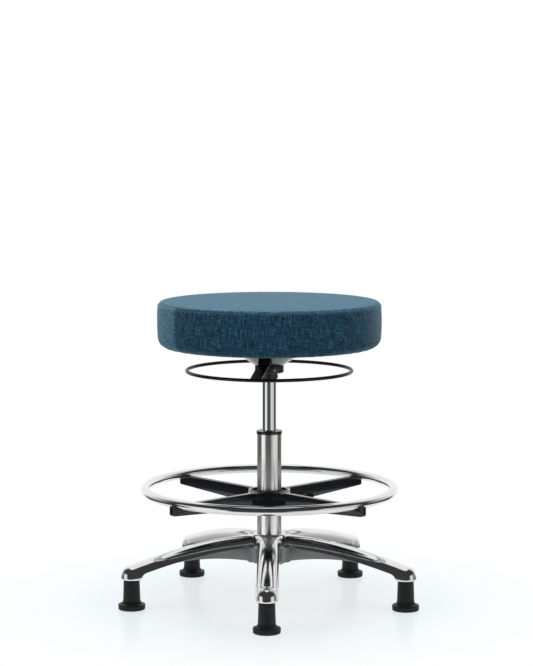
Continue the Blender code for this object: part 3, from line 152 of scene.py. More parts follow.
class Wiring:
    """A node tree with short ways to add and link nodes."""

    def __init__(self, tree: Tree) -> None:
        """Keep the tree that is wired."""
        self.tree = tree

    def add(self, kind: str, feeds: Optional[dict] = None, **settings) -> Node:
        """Add one node.

        Args:
            kind: Blender's name of the node type.
            feeds: values or sockets for its inputs, by name or number.
            settings: properties of the node.

        Returns:
            The new node.
        """
        node = self.tree.nodes.new(kind)
        for name, value in settings.items():
            setattr(node, name, value)
        self.fill(node, feeds or {})
        return node

    def out(self, kind: str, feeds: Optional[dict] = None, **settings) -> Socket:
        """Add one node and give its first output."""
        return self.add(kind, feeds, **settings).outputs[0]

    def fill(self, node: Node, feeds: dict) -> None:
        """Link sockets to inputs of a node, or set the inputs' own values.

        Args:
            node: the node.
            feeds: sockets to link or plain values, by the input's name or number.
        """
        for name, value in feeds.items():
            if isinstance(value, Socket):
                self.tree.links.new(value, node.inputs[name])
            else:
                node.inputs[name].default_value = value

    def maths(self, operation: str, *values: Feed) -> Socket:
        """Add one Math node and give its result."""
        return self.out("ShaderNodeMath", dict(enumerate(values)), operation=operation)

    def between(self, value: Feed, low: float, high: float) -> Socket:
        """Map a range of a value to 0 to 1, clamped, and give the result."""
        return self.out("ShaderNodeMapRange", {0: value, 1: low, 2: high})

    def mix(self, share: Feed, first: Feed, second: Feed) -> Socket:
        """Mix two colours and give the result."""
        feeds = {0: share, 6: first, 7: second}
        return self.add("ShaderNodeMix", feeds, data_type='RGBA').outputs[2]

    def blend(self, share: Feed, first: Feed, second: Feed) -> Socket:
        """Mix two values and give the result."""
        return self.out("ShaderNodeMix", {0: share, 2: first, 3: second})

    def stretched(self, vector: Feed, shares: Corner) -> Socket:
        """Scale a vector along its axes and give the result."""
        return self.out("ShaderNodeVectorMath", {0: vector, 1: shares}, operation='MULTIPLY')

    def joined(self, x: Feed = 0.0, y: Feed = 0.0, z: Feed = 0.0) -> Socket:
        """Make a vector of three values."""
        return self.out("ShaderNodeCombineXYZ", {0: x, 1: y, 2: z})

    def length(self, vector: Feed) -> Socket:
        """Measure a vector and give its length."""
        return self.add("ShaderNodeVectorMath", {0: vector}, operation='LENGTH').outputs[1]

    def mask(self, name: str) -> Socket:
        """Read a value that the mesh carries."""
        return self.add("ShaderNodeAttribute", attribute_name=name).outputs["Fac"]

    def group(self, tree: Tree, feeds: dict) -> dict[str, Socket]:
        """Place a shared group and give its outputs by name."""
        return dict(self.add("ShaderNodeGroup", feeds, node_tree=tree).outputs.items())

    def bump(self, height: Feed, strength: float, distance: float = 0.0004) -> Socket:
        """Add a Bump node and give its normal."""
        feeds = {"Strength": strength, "Distance": distance, "Height": height}
        return self.out("ShaderNodeBump", feeds)

    def ramp(self, value: Feed, stops: Sequence[tuple[float, Colour]]) -> Socket:
        """Colour a value by a row of stops.

        Args:
            value: what is coloured, from 0 to 1.
            stops: places and their colours.

        Returns:
            The colour.
        """
        node = self.add("ShaderNodeValToRGB", {0: value})
        elements = node.color_ramp.elements
        while len(elements) < len(stops):
            elements.new(1.0)
        for element, (place, colour) in zip(elements, stops):
            element.position = place
            element.color = (*colour, 1.0)
        return node.outputs[0]

    def noise(self, vector: Feed, scale: Feed, detail: float = 2.0, flat: bool = False) -> Socket:
        """Add a noise texture and give its value."""
        feeds = {"Vector": vector, "Scale": scale, "Detail": detail}
        return self.out("ShaderNodeTexNoise", feeds, noise_dimensions='2D' if flat else '3D')


SOCKET_KINDS = {
    float: "NodeSocketFloat",
    int: "NodeSocketInt",
    Vector: "NodeSocketVector",
    Material: "NodeSocketMaterial",
    Mesh: "NodeSocketGeometry",
}


def new_group(name: str, kind: str, inputs: dict, outputs: dict) -> tuple[Wiring, dict, Node]:
    """Start a node group with named sockets.

    Args:
        name: the group's name.
        kind: the tree type, for shaders or for geometry.
        inputs: input names and the Python type of each.
        outputs: output names and the Python type of each.

    Returns:
        The net of the group, its input sockets by name, and its output node.
    """
    tree = bpy.data.node_groups.new(name, kind)
    for socket, what in inputs.items():
        tree.interface.new_socket(socket, in_out='INPUT', socket_type=SOCKET_KINDS[what])
    for socket, what in outputs.items():
        tree.interface.new_socket(socket, in_out='OUTPUT', socket_type=SOCKET_KINDS[what])
    net = Wiring(tree)
    source = net.add("NodeGroupInput")
    return net, {socket: source.outputs[socket] for socket in inputs}, net.add("NodeGroupOutput")


# Shared shader groups, with the ranges of noise that they spread out
SCRATCH_WAYS = ((900.0, 40.0, 70.0), (60.0, 800.0, 45.0), (70.0, 50.0, 850.0))
SCRATCH_RANGE = (0.70, 0.76)
SMUDGE_RANGE = (0.38, 0.72)
GRAIN_RANGE = (0.3, 0.7)
TONE_RANGE = (0.35, 0.7)
TONE_SHARE = 0.02
OVER_RANGE = (-0.2, 0.2)
YARN_SCALE = 0.93
YARN_APART = 7.0


@cache
def wear_group() -> Tree:
    """Smudges and hairline scratches of handled metal.

    Returns:
        The shader group.
    """
    inputs = {"Vector": Vector, "Scale": float}
    outputs = {"Smudge": float, "Scratch": float}
    net, given, end = new_group("surface_wear", 'ShaderNodeTree', inputs, outputs)
    cloud = net.noise(given["Vector"], given["Scale"], 5.0)
    streaks = []
    for shares in SCRATCH_WAYS:
        streak = net.noise(net.stretched(given["Vector"], shares), 1.0, 1.0)
        streaks.append(net.between(streak, *SCRATCH_RANGE))
    most = net.maths('MAXIMUM', net.maths('MAXIMUM', streaks[0], streaks[1]), streaks[2])
    net.fill(end, {"Smudge": net.between(cloud, *SMUDGE_RANGE), "Scratch": most})
    return net.tree


@cache
def grain_group() -> Tree:
    """Fine moulded grain with slow changes of tone.

    Returns:
        The shader group.
    """
    inputs = {"Vector": Vector, "Scale": float}
    outputs = {"Height": float, "Tone": float}
    net, given, end = new_group("mould_grain", 'ShaderNodeTree', inputs, outputs)
    fine = net.noise(given["Vector"], given["Scale"], 3.0)
    broad = net.noise(given["Vector"], net.maths('MULTIPLY', given["Scale"], TONE_SHARE), 4.0)
    height = net.between(fine, *GRAIN_RANGE)
    net.fill(end, {"Height": height, "Tone": net.between(broad, *TONE_RANGE)})
    return net.tree


@cache
def weave_group() -> Tree:
    """Plain weave of slubby two-tone yarn, on a UV map in metres.

    Returns:
        The shader group.
    """
    inputs = {"Vector": Vector, "Pitch": float, "Slub": float}
    outputs = {"Height": float, "Tone": float}
    net, given, end = new_group("weave", 'ShaderNodeTree', inputs, outputs)
    parts = net.add("ShaderNodeSeparateXYZ", {0: given["Vector"]}).outputs
    across = [net.maths('DIVIDE', parts[i], given["Pitch"]) for i in (0, 1)]
    along = [net.maths('DIVIDE', parts[i], given["Slub"]) for i in (1, 0)]
    waves = [net.maths('SINE', net.maths('MULTIPLY', value, pi)) for value in across]
    over = net.between(net.maths('MULTIPLY', *waves), *OVER_RANGE)
    domes = [net.maths('ABSOLUTE', wave) for wave in waves]
    tones = []
    for place, (side, length) in enumerate(zip(across, along)):
        tones.append(net.noise(net.joined(side, length, place * YARN_APART), YARN_SCALE))
    height = net.blend(over, domes[1], domes[0])
    net.fill(end, {"Height": height, "Tone": net.blend(over, tones[1], tones[0])})
    return net.tree


@dataclass(frozen=True)
class Finish:
    """What every finish has: its name, the record's slot, and the plain values of its shader."""

    name: str
    slot: str
    colour: Colour
    roughness: float

    def material(self) -> Material:
        """The material, built when it is first asked for."""
        return bpy.data.materials.get(self.name) or self.build()

    def start(self, plain: Optional[dict] = None) -> tuple[Material, Wiring, Node]:
        """Start a material.

        Args:
            plain: values of the shader's own sockets that are the same all over.

        Returns:
            The material, its net and its Principled shader.
        """
        material = bpy.data.materials.new(self.name)
        material.use_nodes = True
        net = Wiring(material.node_tree)
        shader = material.node_tree.nodes["Principled BSDF"]
        net.fill(shader, {"Base Color": self.tinted(1.0), "Roughness": self.roughness, **(plain or {})})
        return material, net, shader

    def tinted(self, share: float) -> tuple[float, float, float, float]:
        """The finish's colour times a share, as RGBA."""
        return (*(value * share for value in self.colour), 1.0)

    def build(self) -> Material:
        """Make the plain material; each kind of finish adds its own detail."""
        return self.start()[0]


def around_axis(net: Wiring) -> Socket:
    """Object coordinates moved so that the column's axis is their origin."""
    place = net.add("ShaderNodeTexCoord").outputs["Object"]
    return net.out("ShaderNodeMapping", {"Vector": place, "Location": tuple(-AXIS)})


@dataclass(frozen=True)
class MetalFinish(Finish):
    """Bare or plated metal with smudges, hairlines and tool lines."""

    edge: Colour = (1.0, 1.0, 1.0)
    smudge: float = 0.05
    smudge_scale: float = 14.0
    scratch: float = 0.05
    lay: Lay = Lay.PLAIN
    line_scale: float = 2500.0
    line_depth: float = 0.1
    drawn_out: float = 0.0
    relief: float = 0.25
    smudge_tint: float = 0.95
    skin: bool = False
    skin_range: Point = (0.3, 0.8)
    skin_grain: float = 900.0
    skin_rough: Point = (0.16, 0.34)
    skin_tints: Point = (0.30, 0.40)
    skin_pits: float = 0.5

    def build(self) -> Material:
        """Make the metal's material.

        Returns:
            The material.
        """
        plain = {"Metallic": 1.0, "Specular Tint": (*self.edge, 1.0), "Anisotropic": self.drawn_out}
        material, net, shader = self.start(plain)
        if self.drawn_out:
            tangent = net.out("ShaderNodeTangent", direction_type='RADIAL', axis='Z')
            net.fill(shader, {"Anisotropic Rotation": 0.25, "Tangent": tangent})
        vector = around_axis(net)
        wear = net.group(wear_group(), {"Vector": vector, "Scale": self.smudge_scale})
        rough = net.maths('MULTIPLY_ADD', wear["Smudge"], self.smudge, self.roughness)
        colour = net.mix(wear["Smudge"], self.tinted(1.0), self.tinted(self.smudge_tint))
        height = net.maths('MULTIPLY', wear["Scratch"], -self.scratch)
        if self.lay is not Lay.PLAIN:
            height = net.maths('ADD', height, self.tool_lines(net, vector))
        if self.skin:
            rough, colour, height = self.cast_skin(net, vector, rough, colour, height)
        normal = net.bump(height, self.relief)
        net.fill(shader, {"Roughness": rough, "Base Color": colour, "Normal": normal})
        return material

    def tool_lines(self, net: Wiring, vector: Socket) -> Socket:
        """Fine rings, stacked along a turned tube or spread out on a spun bowl.

        Args:
            net: the material's wiring.
            vector: the place on the piece.

        Returns:
            The bump height of the lines.
        """
        parts = net.add("ShaderNodeSeparateXYZ", {0: vector}).outputs
        place = parts[2]
        if self.lay is Lay.SPUN:
            place = net.length(net.joined(parts[0], parts[1]))
        lines = net.noise(net.joined(place), self.line_scale, 1.0)
        return net.maths('MULTIPLY', lines, self.line_depth)

    def cast_skin(self, net: Wiring, vector: Feed, rough: Feed, colour: Feed, height: Feed) -> tuple:
        """Where the casting isn't polished, show its plain grey skin instead.

        Args:
            net: the material's wiring.
            vector: the place on the piece.
            rough: roughness of the polished face.
            colour: colour of the polished face.
            height: bump height of the polished face.

        Returns:
            Roughness, colour and height with the plain skin mixed in.
        """
        share = net.between(net.mask("cast_skin"), *self.skin_range)
        grain = net.group(grain_group(), {"Vector": vector, "Scale": self.skin_grain})
        dull = net.maths('MULTIPLY_ADD', grain["Tone"], *self.skin_rough)
        grey = net.mix(grain["Tone"], *(self.tinted(share) for share in self.skin_tints))
        pits = net.maths('MULTIPLY', net.maths('MULTIPLY', grain["Height"], share), self.skin_pits)
        height = net.maths('ADD', height, pits)
        return net.blend(share, rough, dull), net.mix(share, colour, grey), height


@dataclass(frozen=True)
class MouldedFinish(Finish):
    """Moulded plastic, rubber or paint with a fine grain and slow changes of sheen."""

    grain: float = 1600.0
    depth: float = 0.15
    variation: float = 0.12
    coat: float = 0.0
    coat_rough: float = 0.08
    gloss: float = 0.5
    rubbed: float = 1.35
    pit: float = 0.0003

    def build(self) -> Material:
        """Make the moulded material.

        Returns:
            The material.
        """
        plain = {"Coat Weight": self.coat, "Coat Roughness": self.coat_rough}
        material, net, shader = self.start({**plain, "Specular IOR Level": self.gloss})
        grain = net.group(grain_group(), {"Vector": around_axis(net), "Scale": self.grain})
        colour = net.mix(grain["Tone"], self.tinted(1.0), self.tinted(self.rubbed))
        rough = net.maths('MULTIPLY_ADD', grain["Tone"], self.variation, self.roughness)
        normal = net.bump(grain["Height"], self.depth, self.pit)
        net.fill(shader, {"Base Color": colour, "Roughness": rough, "Normal": normal})
        return material


@dataclass(frozen=True)
class ClothFinish(Finish):
    """Woven cloth on a UV map in metres; by attribute, a paler napped panel, a top painted paler for its
    light and sheen, and painted shade along the seams.
    """

    pitch: float = 0.0012
    slub: float = 0.006
    stops: tuple = ()
    fleck_scale: float = 480.0
    fleck_shares: Point = (1.0, 0.085)
    warp: float = 0.62
    fleck: float = 0.5
    # Paler colours for the napped panel and for the top, which is painted lighter for the overhead light
    # and grazing sheen on it
    nap_and_top_light_stops: tuple = ((0.0, (0.012, 0.046, 0.074)), (1.0, (0.140, 0.340, 0.480)))
    sheen: float = 0.60
    sheen_colour: Colour = (0.70, 0.91, 1.0)
    sheen_rough: float = 0.3
    gloss: float = 0.2
    tone_range: Point = (0.39, 0.63)
    seam_shade: float = 0.9
    seam_shade_tint: float = 0.15
    relief: float = 0.5

    def build(self) -> Material:
        """Make the cloth's material.

        Returns:
            The material.
        """
        plain = {"Sheen Weight": self.sheen, "Sheen Tint": (*self.sheen_colour, 1.0)}
        plain.update({"Sheen Roughness": self.sheen_rough, "Specular IOR Level": self.gloss})
        material, net, shader = self.start(plain)
        place = net.add("ShaderNodeTexCoord").outputs["UV"]
        weave = net.group(weave_group(), {"Vector": place, "Pitch": self.pitch, "Slub": self.slub})
        thin, long = self.fleck_shares
        flecks = [net.noise(net.stretched(place, shares), self.fleck_scale, 3.0, flat=True)
                  for shares in ((thin, long, 1.0), (long, thin, 1.0))]
        fleck = net.blend(self.warp, flecks[1], flecks[0])
        share = net.between(net.blend(self.fleck, weave["Tone"], fleck), *self.tone_range)
        colour = net.ramp(share, self.stops)
        # Paler by mask: the napped panel, and painted light on the top panel
        colour = net.mix(net.mask("nap_and_painted_top_light"), colour, net.ramp(share, self.nap_and_top_light_stops))
        # Painted shade: the seam groove and the side seam are darkened toward a dark share of the cloth's
        # colour
        seam = net.maths('MULTIPLY', net.mask("seam"), self.seam_shade)
        colour = net.mix(seam, colour, self.tinted(self.seam_shade_tint))
        net.fill(shader, {"Base Color": colour, "Normal": net.bump(weave["Height"], self.relief)})
        return material


@dataclass(frozen=True)
class PlyFinish(Finish):
    """Plywood with long grain on its face."""

    grain_shares: Corner = (8.0, 160.0, 900.0)
    tints: Point = (0.7, 1.1)
    relief: float = 0.2

    def build(self) -> Material:
        """Make the plywood's material.

        Returns:
            The material.
        """
        material, net, shader = self.start()
        grain = net.noise(net.stretched(around_axis(net), self.grain_shares), 1.0, 5.0)
        colour = net.mix(grain, *(self.tinted(share) for share in self.tints))
        net.fill(shader, {"Base Color": colour, "Normal": net.bump(grain, self.relief)})
        return material


TWEED_STOPS = (
    (0.0, (0.004, 0.020, 0.038)),
    (0.38, (0.012, 0.050, 0.090)),
    (0.68, (0.028, 0.094, 0.155)),
    (1.0, (0.085, 0.200, 0.285)),
)
BLACK_STOPS = ((0.0, (0.010, 0.010, 0.011)), (1.0, (0.035, 0.035, 0.038)))

TWEED = ClothFinish("blue_tweed", "tweed", (0.045, 0.11, 0.16), 0.92, stops=TWEED_STOPS)
BLACK_CLOTH = ClothFinish("black_nonwoven", "black_cloth", (0.02, 0.02, 0.022), 0.95, pitch=0.0007,
                          stops=BLACK_STOPS, sheen=0.1)
PLYWOOD = PlyFinish("birch_ply", "plywood", (0.60, 0.44, 0.27), 0.75)
ZINC = MetalFinish("zinc_plating", "zinc_plate", (0.62, 0.63, 0.64), 0.32, smudge=0.15, smudge_scale=60.0)
DARK_ZINC = MetalFinish("black_zinc", "zinc_plate", (0.34, 0.37, 0.42), 0.30, smudge=0.1)
# Painted shade: the bowl's colour is set far darker than bright steel, for the shade under the seat
SPUN_STEEL_PAINTED_SHADE = MetalFinish("spun_steel_painted_shade", "bright_steel", (0.15, 0.155, 0.155), 0.16, smudge=0.06,
                         lay=Lay.SPUN, line_scale=2200.0, line_depth=0.25)
GROUND_STEEL = MetalFinish("ground_steel", "bright_steel", (0.72, 0.73, 0.74), 0.14, lay=Lay.TURNED)
CHROME = MetalFinish("bright_chrome", "chrome", (0.80, 0.80, 0.81), 0.03, smudge=0.02)
TUBE_CHROME = MetalFinish("cylinder_chrome", "chrome", (0.80, 0.81, 0.83), 0.04, smudge=0.03,
                          lay=Lay.TURNED, line_depth=0.03)
COLUMN_CHROME = MetalFinish("column_chrome", "chrome", (0.95, 0.94, 0.92), 0.16, edge=(0.5, 0.5, 0.5),
                            smudge=0.03, lay=Lay.TURNED, line_depth=0.03, drawn_out=0.9)
CASTING = MetalFinish("buffed_aluminium", "polished_casting", (0.80, 0.80, 0.80), 0.10, smudge=0.04,
                      skin=True)
BLACK_PAINT = MouldedFinish("gloss_black_paint", "black_paint", (0.007, 0.0055, 0.0045), 0.30,
                            grain=900.0, depth=0.06, gloss=0.35)
HUB_PAINT = MouldedFinish("satin_black_paint", "black_paint", (0.016, 0.016, 0.016), 0.34, grain=900.0,
                          depth=0.06, gloss=0.6)
ARM_PLASTIC = MouldedFinish("glossed_plastic", "black_plastic", (0.0055, 0.0065, 0.0100), 0.30,
                            depth=0.1, coat=0.8, gloss=0.1)
BLACK_PLASTIC = MouldedFinish("moulded_black", "black_plastic", (0.008, 0.008, 0.0085), 0.45,
                              depth=0.2, gloss=0.35)
BUSH_NYLON = MouldedFinish("matt_nylon", "black_nylon", (0.006, 0.006, 0.007), 0.55, depth=0.1, gloss=0.2)
BLACK_NYLON = MouldedFinish("glossy_nylon", "black_nylon", (0.012, 0.012, 0.013), 0.16,
                            depth=0.05, coat=0.3)
RUBBER = MouldedFinish("sole_rubber", "black_rubber", (0.02, 0.02, 0.02), 0.75, depth=0.3)
WHITE_NYLON = MouldedFinish("natural_nylon", "white_nylon", (0.75, 0.74, 0.70), 0.45, rubbed=0.93)


# Mesh helpers
def rounded(corners: Outline, steps: int, closed: bool = True) -> list[Point]:
    """Round the corners of an outline; a corner without a rounding stays sharp.

    A point beside each arc, where there is room, keeps the long face next to it flat when it is shaded.

    Args:
        corners: x and y of each corner, and its rounding radius if it has one.
        steps: pieces of each arc.
        closed: whether the last corner joins the first.

    Returns:
        The points of the rounded outline.
    """
    count = len(corners)
    spots = [Vector(corner[:2]) for corner in corners]
    sides = [(spots[i - 1] - spots[i], spots[(i + 1) % count] - spots[i]) for i in range(count)]
    radii = [corner[2] if len(corner) > 2 else 0.0 for corner in corners]
    if not closed:
        radii[0] = 0.0
        radii[-1] = 0.0
    halves = [before.angle(after, pi) / 2 for before, after in sides]
    reaches = [radius / tan(half) if radius > 0.0 else 0.0 for radius, half in zip(radii, halves)]
    points: list[Point] = []
    for i, (here, radius, reach) in enumerate(zip(spots, radii, reaches)):
        if radius <= 0.0:
            points.append(tuple(here))
            continue
        before, after = (side.normalized() for side in sides[i])
        middle = here + (before + after).normalized() * (radius / sin(halves[i]))
        begin = here + before * reach - middle
        finish = here + after * reach - middle
        first = atan2(begin.y, begin.x)
        turn = atan2(finish.y, finish.x) - first
        turn -= TURN * round(turn / TURN)
        angles = [first + turn * k / steps for k in range(steps + 1)]
        arc = [tuple(middle + radius * Vector((cos(angle), sin(angle)))) for angle in angles]
        beside = reach + radius / 2
        if sides[i][0].length > beside + reaches[i - 1] + radii[i - 1]:
            arc.insert(0, tuple(here + before * beside))
        if sides[i][1].length > beside + reaches[(i + 1) % count] + radii[(i + 1) % count]:
            arc.append(tuple(here + after * beside))
        points += arc
    return points


def smoothed(mesh: Mesh, angle: float = SHARP_ANGLE) -> Mesh:
    """Shade a mesh smooth up to an angle.

    Args:
        mesh: the mesh, which is changed.
        angle: edges that turn further stay sharp.

    Returns:
        The same mesh.
    """
    mesh.shade_smooth()
    mesh.set_sharp_from_angle(angle=angle)
    return mesh


def closed_mesh(name: str, shape: Shape) -> Mesh:
    """Merge, turn outward and keep a bmesh as a mesh.

    Args:
        name: the new mesh's name.
        shape: the bmesh, which is freed.

    Returns:
        The mesh.
    """
    bmesh.ops.remove_doubles(shape, verts=shape.verts, dist=TINY)
    bmesh.ops.recalc_face_normals(shape, faces=shape.faces)
    mesh = bpy.data.meshes.new(name)
    shape.to_mesh(mesh)
    shape.free()
    return mesh


def outward(mesh: Mesh) -> Mesh:
    """Turn a mesh's faces outward.

    Args:
        mesh: the mesh, which is changed.

    Returns:
        The same mesh.
    """
    shape = bmesh.new()
    shape.from_mesh(mesh)
    bmesh.ops.recalc_face_normals(shape, faces=shape.faces)
    shape.to_mesh(mesh)
    shape.free()
    return mesh


def skin(shape: Shape, rings: Sequence[Sequence], wrap: bool = True) -> None:
    """Join rings of vertices with faces; a ring of one vertex is a pole.

    Args:
        shape: the bmesh that holds the vertices.
        rings: rows of vertices, in order.
        wrap: whether each row closes on itself.
    """
    for upper, lower in zip(rings, rings[1:]):
        count = max(len(upper), len(lower))
        for k in range(count if wrap else count - 1):
            n = (k + 1) % count
            above = [upper[k % len(upper)], upper[n % len(upper)]]
            below = [lower[n % len(lower)], lower[k % len(lower)]]
            unique = list(dict.fromkeys(above + below))
            if len(unique) > 2:
                shape.faces.new(unique)


def skinned(name: str, rows: Sequence[Sequence[Corner]], loop: bool = False, caps: bool = False) -> Mesh:
    """Make a closed mesh, shaded smooth, from rows of points.

    Args:
        name: the mesh's name.
        rows: points of each closed row; a row of one point is a pole.
        loop: whether the last row joins the first.
        caps: whether the first and last rows are filled.

    Returns:
        The mesh.
    """
    shape = bmesh.new()
    rings = [[shape.verts.new(point) for point in row] for row in rows]
    skin(shape, rings + rings[:1] if loop else rings)
    if caps:
        shape.faces.new(rings[0])
        shape.faces.new(rings[-1])
    return smoothed(closed_mesh(name, shape))


def lathe(name: str, profile: Sequence[Point], steps: int, closed: bool = False) -> Mesh:
    """Turn a half profile round Z.

    Args:
        name: the mesh's name.
        profile: radius and height of each point.
        steps: facets round the axis.
        closed: True for a ring, False for a profile that starts and ends on the axis.

    Returns:
        The turned mesh, round its own Z axis.
    """
    angles = [TURN * k / steps for k in range(steps)]
    rows = []
    for radius, height in profile:
        row = angles if radius > TINY else angles[:1]
        rows.append([(radius * cos(angle), radius * sin(angle), height) for angle in row])
    return skinned(name, rows, loop=closed)


def spun(name: str, corners: Outline, steps: int, arc: int = 3, closed: bool = True) -> Mesh:
    """Turn a profile round Z after its corners are rounded with arcs of so many pieces."""
    return lathe(name, rounded(corners, arc, closed), steps, closed)


def extruded(name: str, outline: Sequence[Point], low: float, high: float) -> Mesh:
    """Give a flat outline a thickness along Z."""
    return skinned(name, [[(x, y, height) for x, y in outline] for height in (low, high)], caps=True)


def slab(name: str, x: Point, y: Point, z: Point, rounding: float = 0.0, arc: int = 2) -> Mesh:
    """A box between limits along each axis, with its upright edges rounded."""
    spots = ((x[0], y[0]), (x[1], y[0]), (x[1], y[1]), (x[0], y[1]))
    return extruded(name, rounded([(*spot, rounding) for spot in spots], arc), *z)


def moved(mesh: Mesh, place: Sequence[float] = ORIGIN, turn: Sequence[float] = ORIGIN) -> Mesh:
    """Turn and move a mesh's own points, and give the mesh back."""
    mesh.transform(Matrix.Translation(place) @ Euler(turn).to_matrix().to_4x4())
    return mesh


def upright(mesh: Mesh, azimuth: float = 0.0) -> Mesh:
    """Stand a flat piece up on its edge, turn it to an azimuth and give it back."""
    moved(mesh, turn=(QUARTER, 0.0, 0.0))
    return moved(mesh, turn=(0.0, 0.0, azimuth))


def guide(mesh: Mesh) -> bpy.types.Object:
    """Link a mesh as a scratch object for a modifier.

    Args:
        mesh: what the object shows.

    Returns:
        The object.
    """
    obj = bpy.data.objects.new(mesh.name, mesh)
    bpy.context.scene.collection.objects.link(obj)
    return obj


def baked(obj: bpy.types.Object, name: str) -> Mesh:
    """Evaluate a scratch object to a plain mesh and remove the object.

    Args:
        obj: the scratch object.
        name: the new mesh's name.

    Returns:
        The plain mesh.
    """
    bpy.context.view_layer.update()
    graph = bpy.context.evaluated_depsgraph_get()
    mesh = bpy.data.meshes.new_from_object(obj.evaluated_get(graph))
    mesh.name = name
    bpy.data.objects.remove(obj, do_unlink=True)
    return mesh


def softened(mesh: Mesh, width: float) -> Mesh:
    """Round the sharp edges of a mesh with a bevel.

    Args:
        mesh: a closed mesh.
        width: the bevel's width.

    Returns:
        The softened mesh.
    """
    obj = guide(mesh)
    bevel = obj.modifiers.new("edges", 'BEVEL')
    bevel.width = width
    bevel.segments = 2
    bevel.limit_method = 'ANGLE'
    bevel.angle_limit = SHARP_ANGLE
    return baked(obj, mesh.name)


def combined(mesh: Mesh, others: Sequence[Mesh], operation: str) -> Mesh:
    """Join other meshes to one, or cut them out of it.

    Args:
        mesh: the mesh that is changed.
        others: closed meshes that are added or cut out.
        operation: UNION or DIFFERENCE.

    Returns:
        The joined or cut mesh.
    """
    collection = bpy.data.collections.new("guides")
    tools = [bpy.data.objects.new(other.name, other) for other in others]
    for tool in tools:
        collection.objects.link(tool)
    obj = guide(mesh)
    boolean = obj.modifiers.new("boolean", 'BOOLEAN')
    boolean.operation = operation
    boolean.operand_type = 'COLLECTION'
    boolean.collection = collection
    boolean.solver = 'EXACT'
    made = baked(obj, mesh.name)
    for tool in tools:
        bpy.data.objects.remove(tool, do_unlink=True)
    bpy.data.collections.remove(collection)
    return smoothed(made)


def rod(name: str, radius: float, low: float, high: float, steps: int = HOLE_SIDES) -> Mesh:
    """A plain round cutter."""
    return lathe(name, [(0.0, high), (radius, high), (radius, low), (0.0, low)], steps)


# Geometry Nodes trees
def end_tree(net: Wiring, end: Node, shape: Feed, material: Feed) -> Tree:
    """Close a tree with real geometry and its material.

    Args:
        net: the tree's wiring.
        end: its output node.
        shape: the geometry so far.
        material: what it is made of.

    Returns:
        The tree.
    """
    whole = net.out("GeometryNodeRealizeInstances", {0: shape})
    dressed = net.add("GeometryNodeSetMaterial", {"Geometry": whole, "Material": material})
    net.fill(end, {0: dressed.outputs[0]})
    return net.tree


@cache
def pattern_tree() -> Tree:
    """Copies of the modifier's own mesh, evenly round the column's axis.

    Returns:
        The Geometry Nodes tree.
    """
    inputs = {"Geometry": Mesh, "Count": int, "Circle": float, "Start": float, "Axis": Vector,
              "Material": Material}
    net, given, end = new_group("round_pattern", 'GeometryNodeTree', inputs, {"Geometry": Mesh})
    feeds = {"Vertices": given["Count"], "Radius": given["Circle"]}
    circle = net.out("GeometryNodeMeshCircle", feeds)
    index = net.out("GeometryNodeInputIndex")
    step = net.maths('DIVIDE', TURN, given["Count"])
    facing = net.joined(z=net.maths('MULTIPLY', step, index))
    feeds = {"Points": circle, "Instance": given["Geometry"], "Rotation": facing}
    copies = net.out("GeometryNodeInstanceOnPoints", feeds)
    feeds = {"Geometry": copies, "Translation": given["Axis"], "Rotation": net.joined(z=given["Start"])}
    placed = net.out("GeometryNodeTransform", feeds)
    return end_tree(net, end, placed, given["Material"])


@cache
def ring_tree() -> Tree:
    """A round tube bent into a ring round the column's axis.

    Returns:
        The Geometry Nodes tree.
    """
    inputs = {"Geometry": Mesh, "Ring": float, "Tube": float, "Steps": int, "Tube Steps": int,
              "Centre": Vector, "Material": Material}
    net, given, end = new_group("bent_ring", 'GeometryNodeTree', inputs, {"Geometry": Mesh})
    circles = []
    for steps, radius in (("Steps", "Ring"), ("Tube Steps", "Tube")):
        feeds = {"Resolution": given[steps], "Radius": given[radius]}
        circles.append(net.out("GeometryNodeCurvePrimitiveCircle", feeds))
    tube = net.out("GeometryNodeCurveToMesh", {0: circles[0], 1: circles[1]})
    smooth = net.out("GeometryNodeSetShadeSmooth", {0: tube})
    feeds = {"Geometry": smooth, "Translation": given["Centre"]}
    placed = net.out("GeometryNodeTransform", feeds)
    return end_tree(net, end, placed, given["Material"])


def grown(name: str, tree: Tree, values: dict, mesh: Optional[Mesh] = None) -> Mesh:
    """Run a Geometry Nodes tree once and keep its plain mesh.

    Args:
        name: the new mesh's name.
        tree: the Geometry Nodes tree.
        values: its inputs by name.
        mesh: what the tree starts from, if anything.

    Returns:
        The plain mesh.
    """
    obj = guide(mesh or bpy.data.meshes.new(name))
    modifier = obj.modifiers.new("nodes", 'NODES')
    modifier.node_group = tree
    for item in tree.interface.items_tree:
        if item.in_out == 'INPUT' and item.name in values:
            modifier[item.identifier] = values[item.name]
    return outward(baked(obj, name))


def pattern(name: str, mesh: Mesh, count: int, circle: float, start: float, finish: Finish) -> Mesh:
    """Copies of one mesh round the column, as one plain mesh.

    Args:
        name: the new mesh's name.
        mesh: what is copied.
        count: how many copies.
        circle: radius of their circle.
        start: angle of the first copy.
        finish: what they are made of.

    Returns:
        The plain mesh, in place.
    """
    values = {"Count": count, "Circle": circle, "Start": start, "Axis": tuple(AXIS),
              "Material": finish.material()}
    return grown(name, pattern_tree(), values, mesh)


def bent_ring(name: str, ring: float, tube: float, height: float, steps: tuple[int, int],
              finish: Finish) -> Mesh:
    """A round tube bent into a ring, as one plain mesh.

    Args:
        name: the new mesh's name.
        ring: radius of the tube's middle line.
        tube: radius of the tube.
        height: height of the ring.
        steps: facets round the ring and round the tube.
        finish: what it is made of.

    Returns:
        The plain mesh, in place.
    """
    values = {"Ring": ring, "Tube": tube, "Steps": steps[0], "Tube Steps": steps[1],
              "Centre": (AXIS.x, AXIS.y, height), "Material": finish.material()}
    return grown(name, ring_tree(), values)


